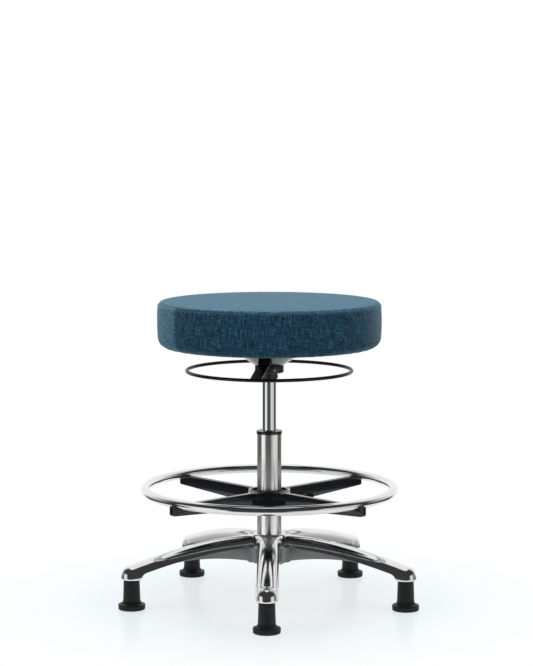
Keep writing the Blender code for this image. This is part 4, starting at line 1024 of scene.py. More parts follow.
def seat_piece(name: str, mesh: Mesh, finish: Finish, body: Body, *nodes: str) -> bpy.types.Object:
    """Link a finished mesh, dress it and hang it on its body.

    Args:
        name: the piece's name.
        mesh: its mesh, already in place.
        finish: what it is made of.
        body: the body that it rides on.
        nodes: the CAD nodes that it stands for.

    Returns:
        The piece.
    """
    mesh.materials.clear()
    mesh.materials.append(finish.material())
    piece = guide(mesh)
    piece.name = name
    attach(piece, body.value)
    if nodes:
        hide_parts(*nodes)
    LOG.info("%s: %d faces on %s", name, len(mesh.polygons), body.value)
    return piece


def numbered(stem: str, count: int) -> list[str]:
    """Names of a row of CAD nodes."""
    return [f"{stem}_{k + 1}" for k in range(count)]


# Star base and glides
@dataclass
class StarBase:
    """The five-leg casting: a smooth cage for half a leg, mirrored and turned five times."""

    legs: int = 5
    stem_circle: float = 0.291
    hub_radius: float = 0.034
    hub_top: float = 0.140
    hub_bottom: float = 0.078
    bore: float = 0.0254
    root_half: float = 0.0245
    tip_half: float = 0.0225
    crest_top: float = 0.139
    crest_drop: float = 0.0485
    crest_curve: float = 1.8
    shell_depth: float = 0.0225
    section_power: float = 2.15
    skirt_depth: float = 0.031
    skirt_curve: float = 1.3
    skirt_reach: float = 0.206
    recess: float = 0.004
    lip: float = 0.0005
    wall: float = 0.004
    roof: float = 0.005
    fillet: float = 0.012
    boss_half: float = 0.015
    arch_run: float = 0.016
    cavity_start: float = 0.0525
    rib_start: float = 0.152
    rib_width: float = 0.004
    row_step: float = 0.0125
    crown_steps: int = 4
    levels: int = 2
    stem_hole: float = 0.0058
    stem_depth: float = 0.0205
    eaves_share: float = 0.06
    fillet_ridges: tuple = ((216.0, 0.0400), (243.0, 0.0448), (270.0, 0.0498))
    arch_turns: tuple = (30.0, 55.0, 75.0, 90.0)
    nose_turns: tuple = (0.0, 22.5, 45.0, 67.5, 90.0)
    hub_flat: float = 0.030
    hub_ease: float = 0.0002
    hub_shoulder: Point = (0.0350, 0.0425)
    hub_dip: float = 0.131
    hub_foot: Point = (0.0315, 0.0335)
    hub_skirt: float = 0.0345
    lip_creases: tuple = (0.75, 0.6, 0.7, 0.7)
    hub_crease: float = 0.8

    def share(self, radius: float) -> float:
        """How far out along the leg a radius lies."""
        return (radius - self.hub_radius) / (self.stem_circle - self.hub_radius)

    def crest(self, radius: float) -> float:
        """Height of the leg's ridge."""
        return self.crest_top - self.crest_drop * max(0.0, self.share(radius)) ** self.crest_curve

    def half(self, radius: float) -> float:
        """Half the leg's width."""
        return self.root_half + (self.tip_half - self.root_half) * self.share(radius)

    def skirt(self, radius: float) -> float:
        """Height of the underside of the plain skirt."""
        drop = self.skirt_depth * max(0.0, 1.0 - self.share(radius) / self.skirt_end) ** self.skirt_curve
        return self.crest(radius) - self.shell_depth - self.lip - drop

    @property
    def skirt_end(self) -> float:
        """How far out along the leg the skirt reaches."""
        return self.share(self.skirt_reach)

    @property
    def foot(self) -> float:
        """Height of the flat under the boss."""
        return Span.of("star_base").bottom

    @property
    def arch_start(self) -> float:
        """Where the underside starts to arch down to the boss."""
        return self.stem_circle - self.boss_half - self.arch_run

    def crown(self) -> list[Point]:
        """Across and up shares of the crowned top, from the ridge to the lip.

        Returns:
            One pair for each point.
        """
        power = 2 / self.section_power
        angles = [QUARTER * i / self.crown_steps for i in range(self.crown_steps + 1)]
        return [(sin(a) ** power, max(0.0, cos(a)) ** power) for a in angles]

    def section(self, spots: Sequence[Vector], lip: float, crest: float,
                under: Sequence[float]) -> list[Vector]:
        """One row of the cage, from the ridge round the side to the middle of the underside.

        Args:
            spots: plan points of the ridge, lip, recess and inner wall.
            lip: height of the shell's lower edge.
            crest: height of the ridge.
            under: heights of the skirt, the hollow's eaves and its roof.

        Returns:
            The row's points.
        """
        ridge, edge, inset, inner = spots
        shell = max(lip, crest - self.shell_depth)
        row = [Vector((*ridge.lerp(edge, x), shell + (crest - shell) * z)) for x, z in self.crown()]
        row[-1].z = lip
        skirt, eaves, roof = under
        row += [Vector((*inset, lip)), Vector((*inset, skirt)), Vector((*inner, skirt))]
        middle = Vector((ridge.x, 0.0))
        row.append(Vector((*inner.lerp(middle, self.eaves_share), eaves)))
        row.append(Vector((*inner.lerp(middle, 0.5), (eaves + 3 * roof) / 4)))
        row.append(Vector((*middle, roof)))
        return row

    def leg_row(self, radius: float, hollow: bool) -> list[Vector]:
        """A row across the straight part of the leg.

        Args:
            radius: distance from the axis.
            hollow: whether the leg is hollow there.

        Returns:
            The row's points.
        """
        half = self.half(radius)
        inset = half - self.recess
        spots = [Vector((radius, y)) for y in (0.0, half, inset, inset - self.wall)]
        crest = self.crest(radius)
        skirt = self.skirt(radius)
        roof = crest - self.roof
        under = (skirt, roof - self.wall, roof) if hollow else (skirt, skirt, skirt)
        return self.section(spots, crest - self.shell_depth, crest, under)

    def fillet_row(self, degrees: float, ridge: float) -> list[Vector]:
        """A row that ends on the fillet between two legs.

        Args:
            degrees: where the row meets the fillet's arc.
            ridge: where it starts on the ridge.

        Returns:
            The row's points.
        """
        half = pi / self.legs
        away = (self.root_half + self.fillet) / sin(half)
        centre = Vector((away * cos(half), away * sin(half)))
        out = Vector((cos(radians(degrees)), sin(radians(degrees))))
        reaches = (self.fillet, self.fillet + self.recess, self.fillet + self.recess + self.wall)
        spots = [Vector((ridge, 0.0))] + [centre + out * reach for reach in reaches]
        skirt = self.skirt(self.hub_radius)
        return self.section(spots, self.crest_top - self.shell_depth, self.crest_top, (skirt, skirt, skirt))

    def boss_row(self, radius: float, turn: float) -> list[Vector]:
        """A row across the arch and the boss over the glide, turned where it goes round the stem.

        Args:
            radius: distance from the axis.
            turn: how far it is turned round the stem.

        Returns:
            The row's points.
        """
        bottom = self.foot + self.lip
        climb = min(1.0, max(0.0, (radius - self.arch_start) / self.arch_run))
        arch_top = self.crest(self.arch_start) - self.shell_depth
        lip = bottom + (arch_top - bottom) * sqrt(max(0.0, 1.0 - climb ** 2))
        recess = self.recess + (self.lip - self.recess) * climb
        half = self.half(min(radius, self.stem_circle))
        out = Vector((sin(turn), cos(turn)))
        middle = Vector((radius, 0.0))
        spots = [middle + out * reach for reach in (0.0, half, half - recess, half - recess - self.wall)]
        under = lip - self.lip
        return self.section(spots, lip, self.crest(radius), (under, under, under))

    def rows(self) -> list[list[Vector]]:
        """All rows from the fillet to the nose.

        Returns:
            The rows, in order.
        """
        rows = [self.fillet_row(*mark) for mark in self.fillet_ridges]
        cavity_end = self.arch_start - self.wall
        edge = self.wall / 4
        rib_end = self.rib_start + self.rib_width
        marks = [(self.cavity_start - edge, False), (self.cavity_start, True)]
        marks += self.steps_between(self.cavity_start, self.rib_start)
        marks += [(self.rib_start, True), (self.rib_start + edge, False)]
        marks += [(rib_end - edge, False), (rib_end, True)]
        marks += self.steps_between(rib_end, cavity_end)
        marks += [(cavity_end, True), (cavity_end + edge, False), (self.arch_start, False)]
        rows += [self.leg_row(radius, hollow) for radius, hollow in marks]
        for degrees in self.arch_turns:
            along = self.arch_run * sin(radians(degrees))
            rows.append(self.boss_row(self.arch_start + along, 0.0))
        rows.append(self.boss_row(self.stem_circle - self.boss_half / 2, 0.0))
        for degrees in self.nose_turns:
            rows.append(self.boss_row(self.stem_circle, radians(degrees)))
        return rows

    def steps_between(self, low: float, high: float) -> list[tuple[float, bool]]:
        """Evenly spaced hollow rows between two radii, ends left out."""
        count = max(2, round((high - low) / self.row_step))
        return [(low + (high - low) * i / count, True) for i in range(1, count)]

    def hub_row(self, near: Point, far: Point, count: int) -> list[Vector]:
        """A row of the hub between the leg's middle and the middle between two legs.

        Args:
            near: radius and height at the leg's middle.
            far: radius and height between two legs.
            count: points in the row.

        Returns:
            The row's points.
        """
        row = []
        for i in range(count):
            share = i / (count - 1)
            angle = pi / self.legs * share
            radius, height = Vector(near).lerp(Vector(far), (1.0 - cos(pi * share)) / 2)
            row.append(Vector((radius * cos(angle), radius * sin(angle), height)))
        return row

    def half_leg(self, shape: Shape) -> None:
        """Add the cage of half a leg to a bmesh.

        Args:
            shape: the bmesh that takes it.
        """
        across = self.crown_steps + 1
        top = self.hub_top - self.lip
        ease = self.hub_ease
        near, far = self.hub_shoulder
        hub_top = [
            ((self.bore, top), (self.bore, top)),
            ((self.hub_flat, top), (self.hub_flat, top - ease)),
            ((near, self.crest_top + ease), (far, self.hub_dip)),
        ]
        low = self.hub_bottom
        spots = [(self.bore, low), (self.hub_foot[0], low), (self.hub_foot[1], low + 2 * self.lip),
                 (self.hub_skirt, self.skirt(self.hub_radius))]
        kind = shape.verts.layers.float["cast_skin"]
        crease = shape.edges.layers.float["crease_edge"]
        rows = self.rows()
        inward = len(rows[0]) - across - 1
        top_rows = [self.hub_row(*ends, across) for ends in hub_top]
        under_rows = [self.hub_row(spot, spot, inward) for spot in spots]
        legs, upper, under = ([[shape.verts.new(point) for point in row] for row in part]
                              for part in (rows, top_rows, under_rows))
        for row in legs:
            for i, vert in enumerate(row):
                vert[kind] = 0.0 if i < across else 1.0
        for row in under:
            for vert in row:
                vert[kind] = 1.0
        skin(shape, legs, wrap=False)
        skin(shape, upper + [legs[0][:across]], wrap=False)
        skin(shape, under + [list(reversed(legs[0][across + 1:]))], wrap=False)
        skin(shape, [upper[0], under[0]], wrap=False)
        for i, amount in enumerate(self.lip_creases, across - 1):
            for row, following in zip(legs, legs[1:]):
                edge = shape.edges.get((row[i], following[i]))
                if edge:
                    edge[crease] = amount
        for row in (upper[0], under[0], under[1]):
            for first, second in zip(row, row[1:]):
                shape.edges.get((first, second))[crease] = self.hub_crease

    def copied(self, shape: Shape, parts: list) -> list:
        """Copy parts of a bmesh within it, and give the vertices of the copy."""
        copy = bmesh.ops.duplicate(shape, geom=parts)["geom"]
        return [item for item in copy if isinstance(item, bmesh.types.BMVert)]

    def build(self) -> Mesh:
        """Make the casting's mesh.

        Returns:
            Its mesh, in place.
        """
        shape = bmesh.new()
        shape.verts.layers.float.new("cast_skin")
        shape.edges.layers.float.new("crease_edge")
        self.half_leg(shape)
        bmesh.ops.remove_doubles(shape, verts=shape.verts, dist=TINY)
        half = shape.verts[:] + shape.edges[:] + shape.faces[:]
        bmesh.ops.scale(shape, vec=(1.0, -1.0, 1.0), verts=self.copied(shape, half))
        bmesh.ops.remove_doubles(shape, verts=shape.verts, dist=TINY)
        whole = shape.verts[:] + shape.edges[:] + shape.faces[:]
        for k in range(1, self.legs):
            spin = Matrix.Rotation(TURN * k / self.legs, 3, 'Z')
            bmesh.ops.rotate(shape, cent=ORIGIN, matrix=spin, verts=self.copied(shape, whole))
        bmesh.ops.remove_doubles(shape, verts=shape.verts, dist=10 * TINY)
        mesh = closed_mesh("star_base_casting", shape)
        obj = guide(moved(mesh, AXIS, (0.0, 0.0, -QUARTER)))
        smooth = obj.modifiers.new("smooth", 'SUBSURF')
        smooth.levels = self.levels
        smooth.render_levels = self.levels
        made = baked(obj, "star_base_casting")
        holes = []
        for k in range(self.legs):
            angle = TURN * k / self.legs - QUARTER
            place = AXIS + self.stem_circle * Vector((cos(angle), sin(angle), 0.0))
            hole = rod("stem_hole", self.stem_hole, self.foot - self.wall, self.foot + self.stem_depth)
            holes.append(moved(hole, place))
        return combined(made, holes, 'DIFFERENCE')

    def dress(self) -> None:
        """Seat the casting on the base."""
        seat_piece("star_base_casting", self.build(), CASTING, Body.BASE, "star_base")


@dataclass
class Glides:
    """Five bell glides with their soles and stems."""

    count: int = StarBase.legs
    circle: float = StarBase.stem_circle
    start: float = -QUARTER
    neck_top: float = 0.0162
    neck_round: float = 0.0018
    neck_foot: float = 0.0175
    flare_top: float = 0.0215
    flare_steps: int = 8
    rim_top: float = 0.0115
    rim_edge: float = 0.0032
    rim_slope: float = 0.0004
    rim_round: float = 0.0024
    rim_flat: float = 0.004
    hole: float = StarBase.stem_hole
    stem_in_glide: float = 0.034
    sole_edge: float = 0.0016
    dish: Point = (0.012, 0.011)
    dish_depth: float = 0.0008
    stem_edge: float = 0.001
    groove: tuple = ((0.0040, 0.0), (0.0045, 0.0008), (0.0065, 0.0008), (0.0070, 0.0))
    steps: int = 48

    def bell(self) -> Mesh:
        """One bell: a tapered neck that flares to a rounded rim.

        Returns:
            Its mesh, round the Z axis.
        """
        span = Span.of("glide_bell_1")
        rim, low = span.radius, span.bottom
        run = rim - self.rim_edge - self.neck_foot
        drop = self.flare_top - self.rim_top
        floor = span.top - self.stem_in_glide
        corners = [(0.0, floor), (self.hole, floor), (self.hole, span.top),
                   (self.neck_top, span.top, self.neck_round)]
        for k in range(self.flare_steps + 1):
            angle = QUARTER * k / self.flare_steps
            radius = self.neck_foot + run * (1.0 - cos(angle))
            corners.append((radius, self.flare_top - drop * sin(angle)))
        corners += [(rim, self.rim_top - self.rim_slope, self.rim_round), (rim, low, EDGE),
                    (rim - self.rim_flat, low), (0.0, low)]
        return spun("glide_bell", corners, self.steps, 5, closed=False)

    def sole(self) -> Mesh:
        """One wear sole with a chamfered foot.

        Returns:
            Its mesh, round the Z axis.
        """
        rim = Span.of("glide_sole_1").radius
        top = Span.of("glide_bell_1").bottom - GAP
        edge = self.sole_edge
        corners = [(0.0, top), (rim, top, CRISP), (rim, edge, EDGE), (rim - edge, 0.0, EDGE),
                   (self.dish[0], 0.0, DULL), (self.dish[1], self.dish_depth, DULL), (0.0, self.dish_depth)]
        return spun("glide_sole", corners, self.steps, closed=False)

    def stem(self) -> Mesh:
        """One steel stem with its stop collar and a ring groove at the top.

        Returns:
            Its mesh, round the Z axis.
        """
        span = Span.of("glide_stem_1")
        low = Span.of("glide_bell_1").top + GAP
        high = Span.of("star_base").bottom - GAP
        shank = self.hole - GAP
        corners = [(0.0, span.top), (shank - self.stem_edge, span.top, KEEN),
                   (shank, span.top - self.stem_edge, KEEN)]
        corners += [(shank - sunk, span.top - down) for down, sunk in self.groove]
        corners += [(shank, high), (span.radius, high, CRISP), (span.radius, low, CRISP), (shank, low),
                    (shank, span.bottom, DULL), (0.0, span.bottom)]
        return spun("glide_stem", corners, self.steps, 2, closed=False)

    def dress(self) -> None:
        """Seat the bells, soles and stems under the legs."""
        for name, mesh, finish, node in (
            ("glide_bells", self.bell(), BLACK_PLASTIC, "glide_bell"),
            ("glide_soles", self.sole(), RUBBER, "glide_sole"),
            ("glide_stems", self.stem(), ZINC, "glide_stem"),
        ):
            made = pattern(name, mesh, self.count, self.circle, self.start, finish)
            seat_piece(name, made, finish, Body.BASE, *numbered(node, self.count))


# Column and gas lift
@dataclass
class Column:
    """Chromed column, its collar, and the gas cylinder that slides in it."""

    wall: float = 0.0025
    taper: float = 0.0008
    taper_top: float = 0.143
    floor: float = 0.003
    floor_hole: float = 0.0046
    collar_height: float = 0.0068
    collar_slope: float = 0.0006
    collar_mouth: tuple = ((0.0, 0.002), (0.0012, 0.0008, CRISP), (0.004, 0.0, CRISP))
    lip: float = 0.002
    rod_mouth: float = 0.007
    pin_mouth: float = 0.006
    steps: int = 96

    def tube(self) -> Mesh:
        """The outer column, tapered where it sits in the hub.

        Returns:
            Its mesh, in place.
        """
        span = Span.of("column_tube")
        rim, low = span.radius, span.bottom
        bore, floor = rim - self.wall, low + self.floor
        corners = [(rim, span.top, EDGE), (rim, self.taper_top), (rim - self.taper, low, EDGE),
                   (self.floor_hole, low), (self.floor_hole, floor), (bore, floor), (bore, span.top, CRISP)]
        return moved(spun("column", corners, self.steps), AXIS)

    def bushing(self) -> Mesh:
        """The glossy collar with its guide sleeve inside the column.

        Returns:
            Its mesh, in place.
        """
        span = Span.of("column_bushing")
        tube = Span.of("column_tube")
        rim, top, low = span.radius, span.top, span.bottom
        inside = tube.radius + GAP
        sleeve = tube.radius - self.wall - GAP
        bore = Span.of("gas_cylinder").radius + GAP
        cap = tube.top + GAP
        skirt = top - self.collar_height
        corners = [(rim - self.collar_slope, top, ROUND), (rim, top - self.collar_height / 4, ROUND),
                   (rim, skirt, KEEN), (inside, skirt), (inside, cap), (sleeve, cap), (sleeve, low, CRISP),
                   (bore, low, CRISP)]
        corners += [(bore + out, top - down, *rounding) for out, down, *rounding in self.collar_mouth]
        return moved(spun("collar", corners, self.steps), AXIS)

    def cylinder(self) -> Mesh:
        """The bright inner tube, tapered into the socket above.

        Returns:
            Its mesh, in place.
        """
        span = Span.of("gas_cylinder")
        rim, top, low = span.radius, span.top, span.bottom
        bore = rim - self.wall
        floor, roof = low + self.lip, top - self.lip
        corners = [(rim - self.taper, top, EASED), (rim, Span.of("taper_socket").bottom), (rim, low, SOFT),
                   (self.rod_mouth, low), (self.rod_mouth, floor), (bore, floor), (bore, roof),
                   (self.pin_mouth, roof), (self.pin_mouth, top, CRISP)]
        return moved(spun("cylinder", corners, self.steps), AXIS)

    def dress(self) -> None:
        """Seat the column, its collar and the gas cylinder."""
        seat_piece("column_chromed_tube", self.tube(), COLUMN_CHROME, Body.BASE, "column_tube")
        seat_piece("column_collar", self.bushing(), BLACK_NYLON, Body.BASE, "column_bushing")
        seat_piece("gas_cylinder_tube", self.cylinder(), TUBE_CHROME, Body.SEAT, "gas_cylinder")


# Seat
@dataclass(frozen=True)
class Fold:
    """Uneven waves of the cover beside one row of the cushion."""

    size: float
    row: str
    past: float
    reach: float
    fewest: int
    most: int


@dataclass
class SeatCushion:
    """Boxed round cushion: a crowned top panel sewn to a side band that is pulled under the board."""

    top_round: float = 0.011
    bottom_round: float = 0.022
    side_draw: float = 0.001
    crown: float = 0.002
    crown_spread: float = 1.6
    rise: float = 0.0015
    cover: float = 0.0015
    hem_radius: float = 0.1655
    divisions: tuple = (46, 19, 30, 16, 9)
    seam_row: int = 9
    side_seam: float = radians(-144.4)
    side_marks: tuple = (0.0, 0.5, 1.0, 1.5, 2.2, 3.0, 4.0)
    side_room: float = 0.005
    groove_width: float = 0.0016
    groove_depth: float = 0.0012
    side_groove: float = 0.5
    folds: tuple = (
        Fold(0.00035, "seam", 0.0, 0.012, 50, 110),
        Fold(0.0007, "hip", 0.020, 0.014, 24, 70),
        Fold(0.0006, "hip", -0.020, 0.030, 3, 14),
    )
    swell_inset: float = 0.004
    swell_cap: float = 0.008
    top_swell: float = 0.4
    side_swell: float = 0.12
    voxel: float = 0.006
    cloth_sides: int = 96
    pressure: float = 4.0
    quality: int = 4
    frames: int = 20
    probe: float = 0.03
    passes: int = 8
    angles: int = 300
    seed: int = 7
    wave_step: int = 3
    # The napped panel fades out behind the side seam; the top is painted paler for its light and sheen,
    # with a soft edge at the seam
    nap_panel: float = radians(75.0)
    nap_curve: float = 0.6
    top_light_spill: float = 0.0015
    painted_top_light: float = 0.62
    # These fade the painted seam shade round the cushion from the side seam; side_shade is painted shade
    # along the side seam
    clear_seam: float = radians(70.0)
    clear_start: float = 1.2
    clear_end: float = 0.1
    side_shade: float = 0.6
    sharp_turn: float = radians(70.0)
    rows: dict = field(default_factory=dict)

    def __post_init__(self) -> None:
        """Read the cushion's and the board's boxes."""
        self.span = Span.of("seat_cover")
        self.board = Span.of("seat_board")

    def outline(self, inset: float) -> np.ndarray:
        """Half outline of the cushion's skin from the top's middle to the hem, as radius and height.

        Args:
            inset: how far inside the skin it runs.

        Returns:
            Radius and height of each point.
        """
        top = self.span.top + self.rise - inset
        bottom = self.span.bottom + inset
        edge = self.span.radius - self.side_draw - inset
        top_round = self.top_round - inset
        bottom_round = self.bottom_round - inset
        counts = self.divisions
        flat = edge - top_round
        shares = 1.0 - (1.0 - np.linspace(0.0, 1.0, counts[0])) ** self.crown_spread
        crown = np.stack([flat * shares, top - self.crown * shares ** 2], 1)
        shoulder = top - self.crown - top_round
        turn = np.linspace(QUARTER, 0.0, counts[1])[1:]
        bend = np.stack([flat + top_round * np.cos(turn), shoulder + top_round * np.sin(turn)], 1)
        hip = bottom + bottom_round
        shares = np.linspace(0.0, 1.0, counts[2])[1:]
        bulge = self.side_draw * (1.0 - (2 * shares - 1.0) ** 2)
        side = np.stack([edge + bulge, shoulder + (hip - shoulder) * shares], 1)
        turn = np.linspace(0.0, -QUARTER, counts[3])[1:]
        heel = edge - bottom_round
        under = np.stack([heel + bottom_round * np.cos(turn), hip + bottom_round * np.sin(turn)], 1)
        shares = np.linspace(0.0, 1.0, counts[4])[1:]
        hem = np.stack([heel + (self.hem_radius - heel) * shares, np.full_like(shares, bottom)], 1)
        ends = np.cumsum([len(part) for part in (crown, bend, side, under)])
        self.rows = {"seam": ends[0] + self.seam_row, "hip": ends[2], "hem": ends[3]}
        return np.concatenate([crown, bend, side, under, hem])

    def pinned_cloth(self) -> bpy.types.Object:
        """A slightly smaller closed body of even cloth, pinned along the seam and underneath.

        Returns:
            The cloth's object.
        """
        profile = [tuple(point) for point in self.outline(self.swell_inset)]
        profile.append((0.0, self.span.bottom + self.swell_inset))
        obj = guide(lathe("cloth", profile, self.cloth_sides))
        remesh = obj.modifiers.new("voxels", 'REMESH')
        remesh.mode = 'VOXEL'
        remesh.voxel_size = self.voxel
        cloth = guide(baked(obj, "cloth"))
        seam = self.outline(self.swell_inset)[self.rows["seam"]]
        pins = cloth.vertex_groups.new(name="pins")
        for vert in cloth.data.vertices:
            radius = hypot(vert.co.x, vert.co.y)
            from_seam = hypot(radius - seam[0], vert.co.z - seam[1])
            held = vert.co.z < self.span.bottom + 2 * self.voxel or from_seam < self.voxel
            pins.add([vert.index], 1.0 if held else 0.0, 'REPLACE')
        return cloth

    def swollen(self) -> BVHTree:
        """Inflate the cloth a little.

        Returns:
            The swollen surface.
        """
        cloth = self.pinned_cloth()
        modifier = cloth.modifiers.new("cloth", 'CLOTH')
        settings = modifier.settings
        settings.use_pressure = True
        settings.uniform_pressure_force = self.pressure
        settings.effector_weights.gravity = 0.0
        settings.vertex_group_mass = "pins"
        settings.quality = self.quality
        modifier.point_cache.frame_start = 1
        modifier.point_cache.frame_end = self.frames
        scene = bpy.context.scene
        for number in range(1, self.frames + 1):
            scene.frame_set(number)
        mesh = baked(cloth, "swollen")
        scene.frame_set(1)
        points = [vert.co.copy() for vert in mesh.vertices]
        faces = [tuple(face.vertices) for face in mesh.polygons]
        bpy.data.meshes.remove(mesh)
        return BVHTree.FromPolygons(points, faces)

    def lifts(self, profile: np.ndarray, normals: np.ndarray, around: np.ndarray) -> np.ndarray:
        """How far the swollen cloth stands off the plain outline.

        Args:
            profile: radius and height of each row.
            normals: outward normals of the rows.
            around: angle of each column.

        Returns:
            One distance for each row and column.
        """
        count = self.rows["hem"]
        lifts = np.zeros((len(profile), len(around)))
        surface = self.swollen()
        plain = self.probe - self.swell_inset
        for i in range(1, count):
            inside = profile[i] - self.probe * normals[i]
            for k, angle in enumerate(around):
                flat = np.array((cos(angle), sin(angle)))
                start = Vector((*(flat * inside[0]), inside[1]))
                out = Vector((*(flat * normals[i, 0]), normals[i, 1]))
                distance = surface.ray_cast(start, out, 3 * self.probe)[3]
                lifts[i, k] = (distance or plain) - plain
        lifts = np.clip(lifts, -self.swell_cap, self.swell_cap)
        lifts[0] = lifts[1].mean()
        for _ in range(self.passes):
            lifts = (np.roll(lifts, 1, 1) + 2 * lifts + np.roll(lifts, -1, 1)) / 4
            lifts[1:count] = (lifts[:count - 1] + 2 * lifts[1:count] + lifts[2:count + 1]) / 4
        least, most = lifts.min() / MILLIMETRE, lifts.max() / MILLIMETRE
        LOG.info("seat cloth swelled by %.1f to %.1f mm", least, most)
        shares = np.where(np.arange(len(profile)) < self.rows["seam"], self.top_swell, self.side_swell)
        return lifts * shares[:, None]

    def waves(self, around: np.ndarray, fold: Fold, generator: np.random.Generator) -> np.ndarray:
        """Uneven waves round the cushion, between about -1 and 1.

        Args:
            around: angle of each column.
            fold: says the fewest and the most waves.
            generator: source of the random numbers.

        Returns:
            One value for each column.
        """
        total = np.zeros_like(around)
        for count in range(fold.fewest, fold.most, self.wave_step):
            total += generator.normal() * np.sin(count * around + generator.uniform(0.0, TURN))
        return total / np.abs(total).max()

    def columns(self) -> np.ndarray:
        """Angles round the cushion, closer together at the side seam.

        Returns:
            The angles, in order.
        """
        step = TURN / self.angles
        even = np.arange(self.angles) * step - pi
        even = even[np.abs(even - self.side_seam) > self.side_room / self.span.radius + step / 4]
        right = np.array(self.side_marks) * MILLIMETRE / self.span.radius
        near = self.side_seam + np.concatenate([-right[1:], right])
        return np.sort(np.concatenate([even, near]))

    def shape(self) -> tuple[np.ndarray, np.ndarray, dict]:
        """Rows and columns of the skin.

        Returns:
            Points by row and column, the angles, and the masks of painted seam shade and of the napped
            panel with the painted lighter top.
        """
        profile = self.outline(0.0)
        steps = np.gradient(profile, axis=0)
        normals = np.stack([-steps[:, 1], steps[:, 0]], 1)
        normals /= np.linalg.norm(normals, axis=1)[:, None]
        around = self.columns()
        lengths = np.concatenate([[0.0], np.cumsum(np.linalg.norm(np.diff(profile, axis=0), axis=1))])
        from_seam = lengths - lengths[self.rows["seam"]]
        groove = np.exp(-(from_seam / self.groove_width) ** 2)[:, None]
        band = np.zeros((len(profile), 1))
        band[self.rows["seam"]:self.rows["hem"]] = 1.0
        from_side = (around - self.side_seam) * self.span.radius
        side = band * np.exp(-(from_side / self.groove_width) ** 2)
        lifts = self.lifts(profile, normals, around)
        lifts -= self.groove_depth * np.maximum(groove, self.side_groove * side)
        generator = np.random.default_rng(self.seed)
        for fold in self.folds:
            along = (lengths - lengths[self.rows[fold.row]] - fold.past) / fold.reach
            waves = self.waves(around, fold, generator)
            lifts += fold.size * np.exp(-along ** 2)[:, None] * waves
        lifts[self.rows["hem"]:] = 0.0
        radii = profile[:, :1] + lifts * normals[:, :1]
        heights = profile[:, 1:] + lifts * normals[:, 1:]
        radii[0] = 0.0
        points = np.stack([radii * np.cos(around), radii * np.sin(around), heights], 2)
        # Painted light: the top panel is made paler for the overhead light and grazing sheen on it; the
        # paler napped panel fades out behind the side seam
        behind = (self.side_seam - around) % TURN
        fade = np.clip(1.0 - behind / self.nap_panel, 0.0, 1.0) ** self.nap_curve
        above = 1.0 / (1.0 + np.exp(from_seam / self.top_light_spill))
        nap_and_painted_top_light = np.maximum(band * fade, self.painted_top_light * above[:, None])
        # Painted shade along the seams, strongest near the side seam and fading round the front
        ahead = (around - self.side_seam) % TURN
        clear = np.clip(self.clear_start - ahead / self.clear_seam, self.clear_end, 1.0)
        masks = {"seam": np.maximum(groove * clear, self.side_shade * side), "nap_and_painted_top_light": nap_and_painted_top_light}
        return points, around, masks

    def pocket(self) -> list[Point]:
        """Profile of the hollow under the cushion that holds the board.

        Returns:
            Radius and height of each point.
        """
        rim = self.board.radius + GAP
        floor = self.span.bottom + self.cover
        roof = self.board.top + GAP
        return [(self.hem_radius, floor), (rim, floor), (rim, roof), (0.0, roof)]

    def build(self) -> Mesh:
        """Make the cushion's mesh with its UV map and masks.

        Returns:
            Its mesh, in place.
        """
        points, around, masks = self.shape()
        rows, columns = points.shape[:2]
        verts = [tuple(points[0, 0])] + [tuple(p) for p in points[1:].reshape(-1, 3)]
        extra = [(r * cos(a), r * sin(a), z) for r, z in self.pocket()[:-1] for a in around]
        verts += extra + [(0.0, 0.0, self.pocket()[-1][1])]
        total = rows + len(self.pocket()) - 1
        last = len(verts) - 1

        def index(i: int, k: int) -> int:
            """Vertex number at a row and column."""
            inner = 1 + (i - 1) * columns + k % columns
            return 0 if i == 0 else last if i == total else inner

        faces = []
        uvs = []
        for i in range(total):
            for k in range(columns):
                corners = [(i, k), (i + 1, k), (i + 1, k + 1), (i, k + 1)]
                if i == 0:
                    corners = corners[:3]
                if i == total - 1:
                    corners = [corners[0], corners[1], corners[3]]
                faces.append([index(*corner) for corner in corners])
                uvs += [self.cloth_place(i, corner, verts[index(*corner)], around) for corner in corners]
        mesh = bpy.data.meshes.new("seat_cushion")
        mesh.from_pydata(verts, [], faces)
        layer = mesh.uv_layers.new(name="cloth")
        layer.data.foreach_set("uv", np.array(uvs, dtype=np.float32).ravel())
        for name, mask in masks.items():
            values = np.zeros(len(verts), dtype=np.float32)
            values[0] = mask[0].mean()
            values[1:1 + (rows - 1) * columns] = mask[1:].ravel()
            mesh.attributes.new(name, 'FLOAT', 'POINT').data.foreach_set("value", values)
        return moved(smoothed(outward(mesh), self.sharp_turn), AXIS)

    def cloth_place(self, row: int, corner: tuple[int, int], point: Corner, around: np.ndarray) -> Point:
        """Place of a corner on its flat cloth panel, in metres.

        Args:
            row: row of the face.
            corner: row and column of the corner.
            point: place of the corner.
            around: angle of each column.

        Returns:
            Its place on the cloth.
        """
        if self.rows["seam"] <= row < self.rows["hem"]:
            angle = around[corner[1] % len(around)] + (TURN if corner[1] == len(around) else 0.0)
            return (angle * self.span.radius, point[2])
        return (point[0], point[1])

    def dress(self) -> None:
        """Seat the cushion."""
        piece = seat_piece("seat_cushion", self.build(), TWEED, Body.SEAT, "seat_cover", "seat_foam")


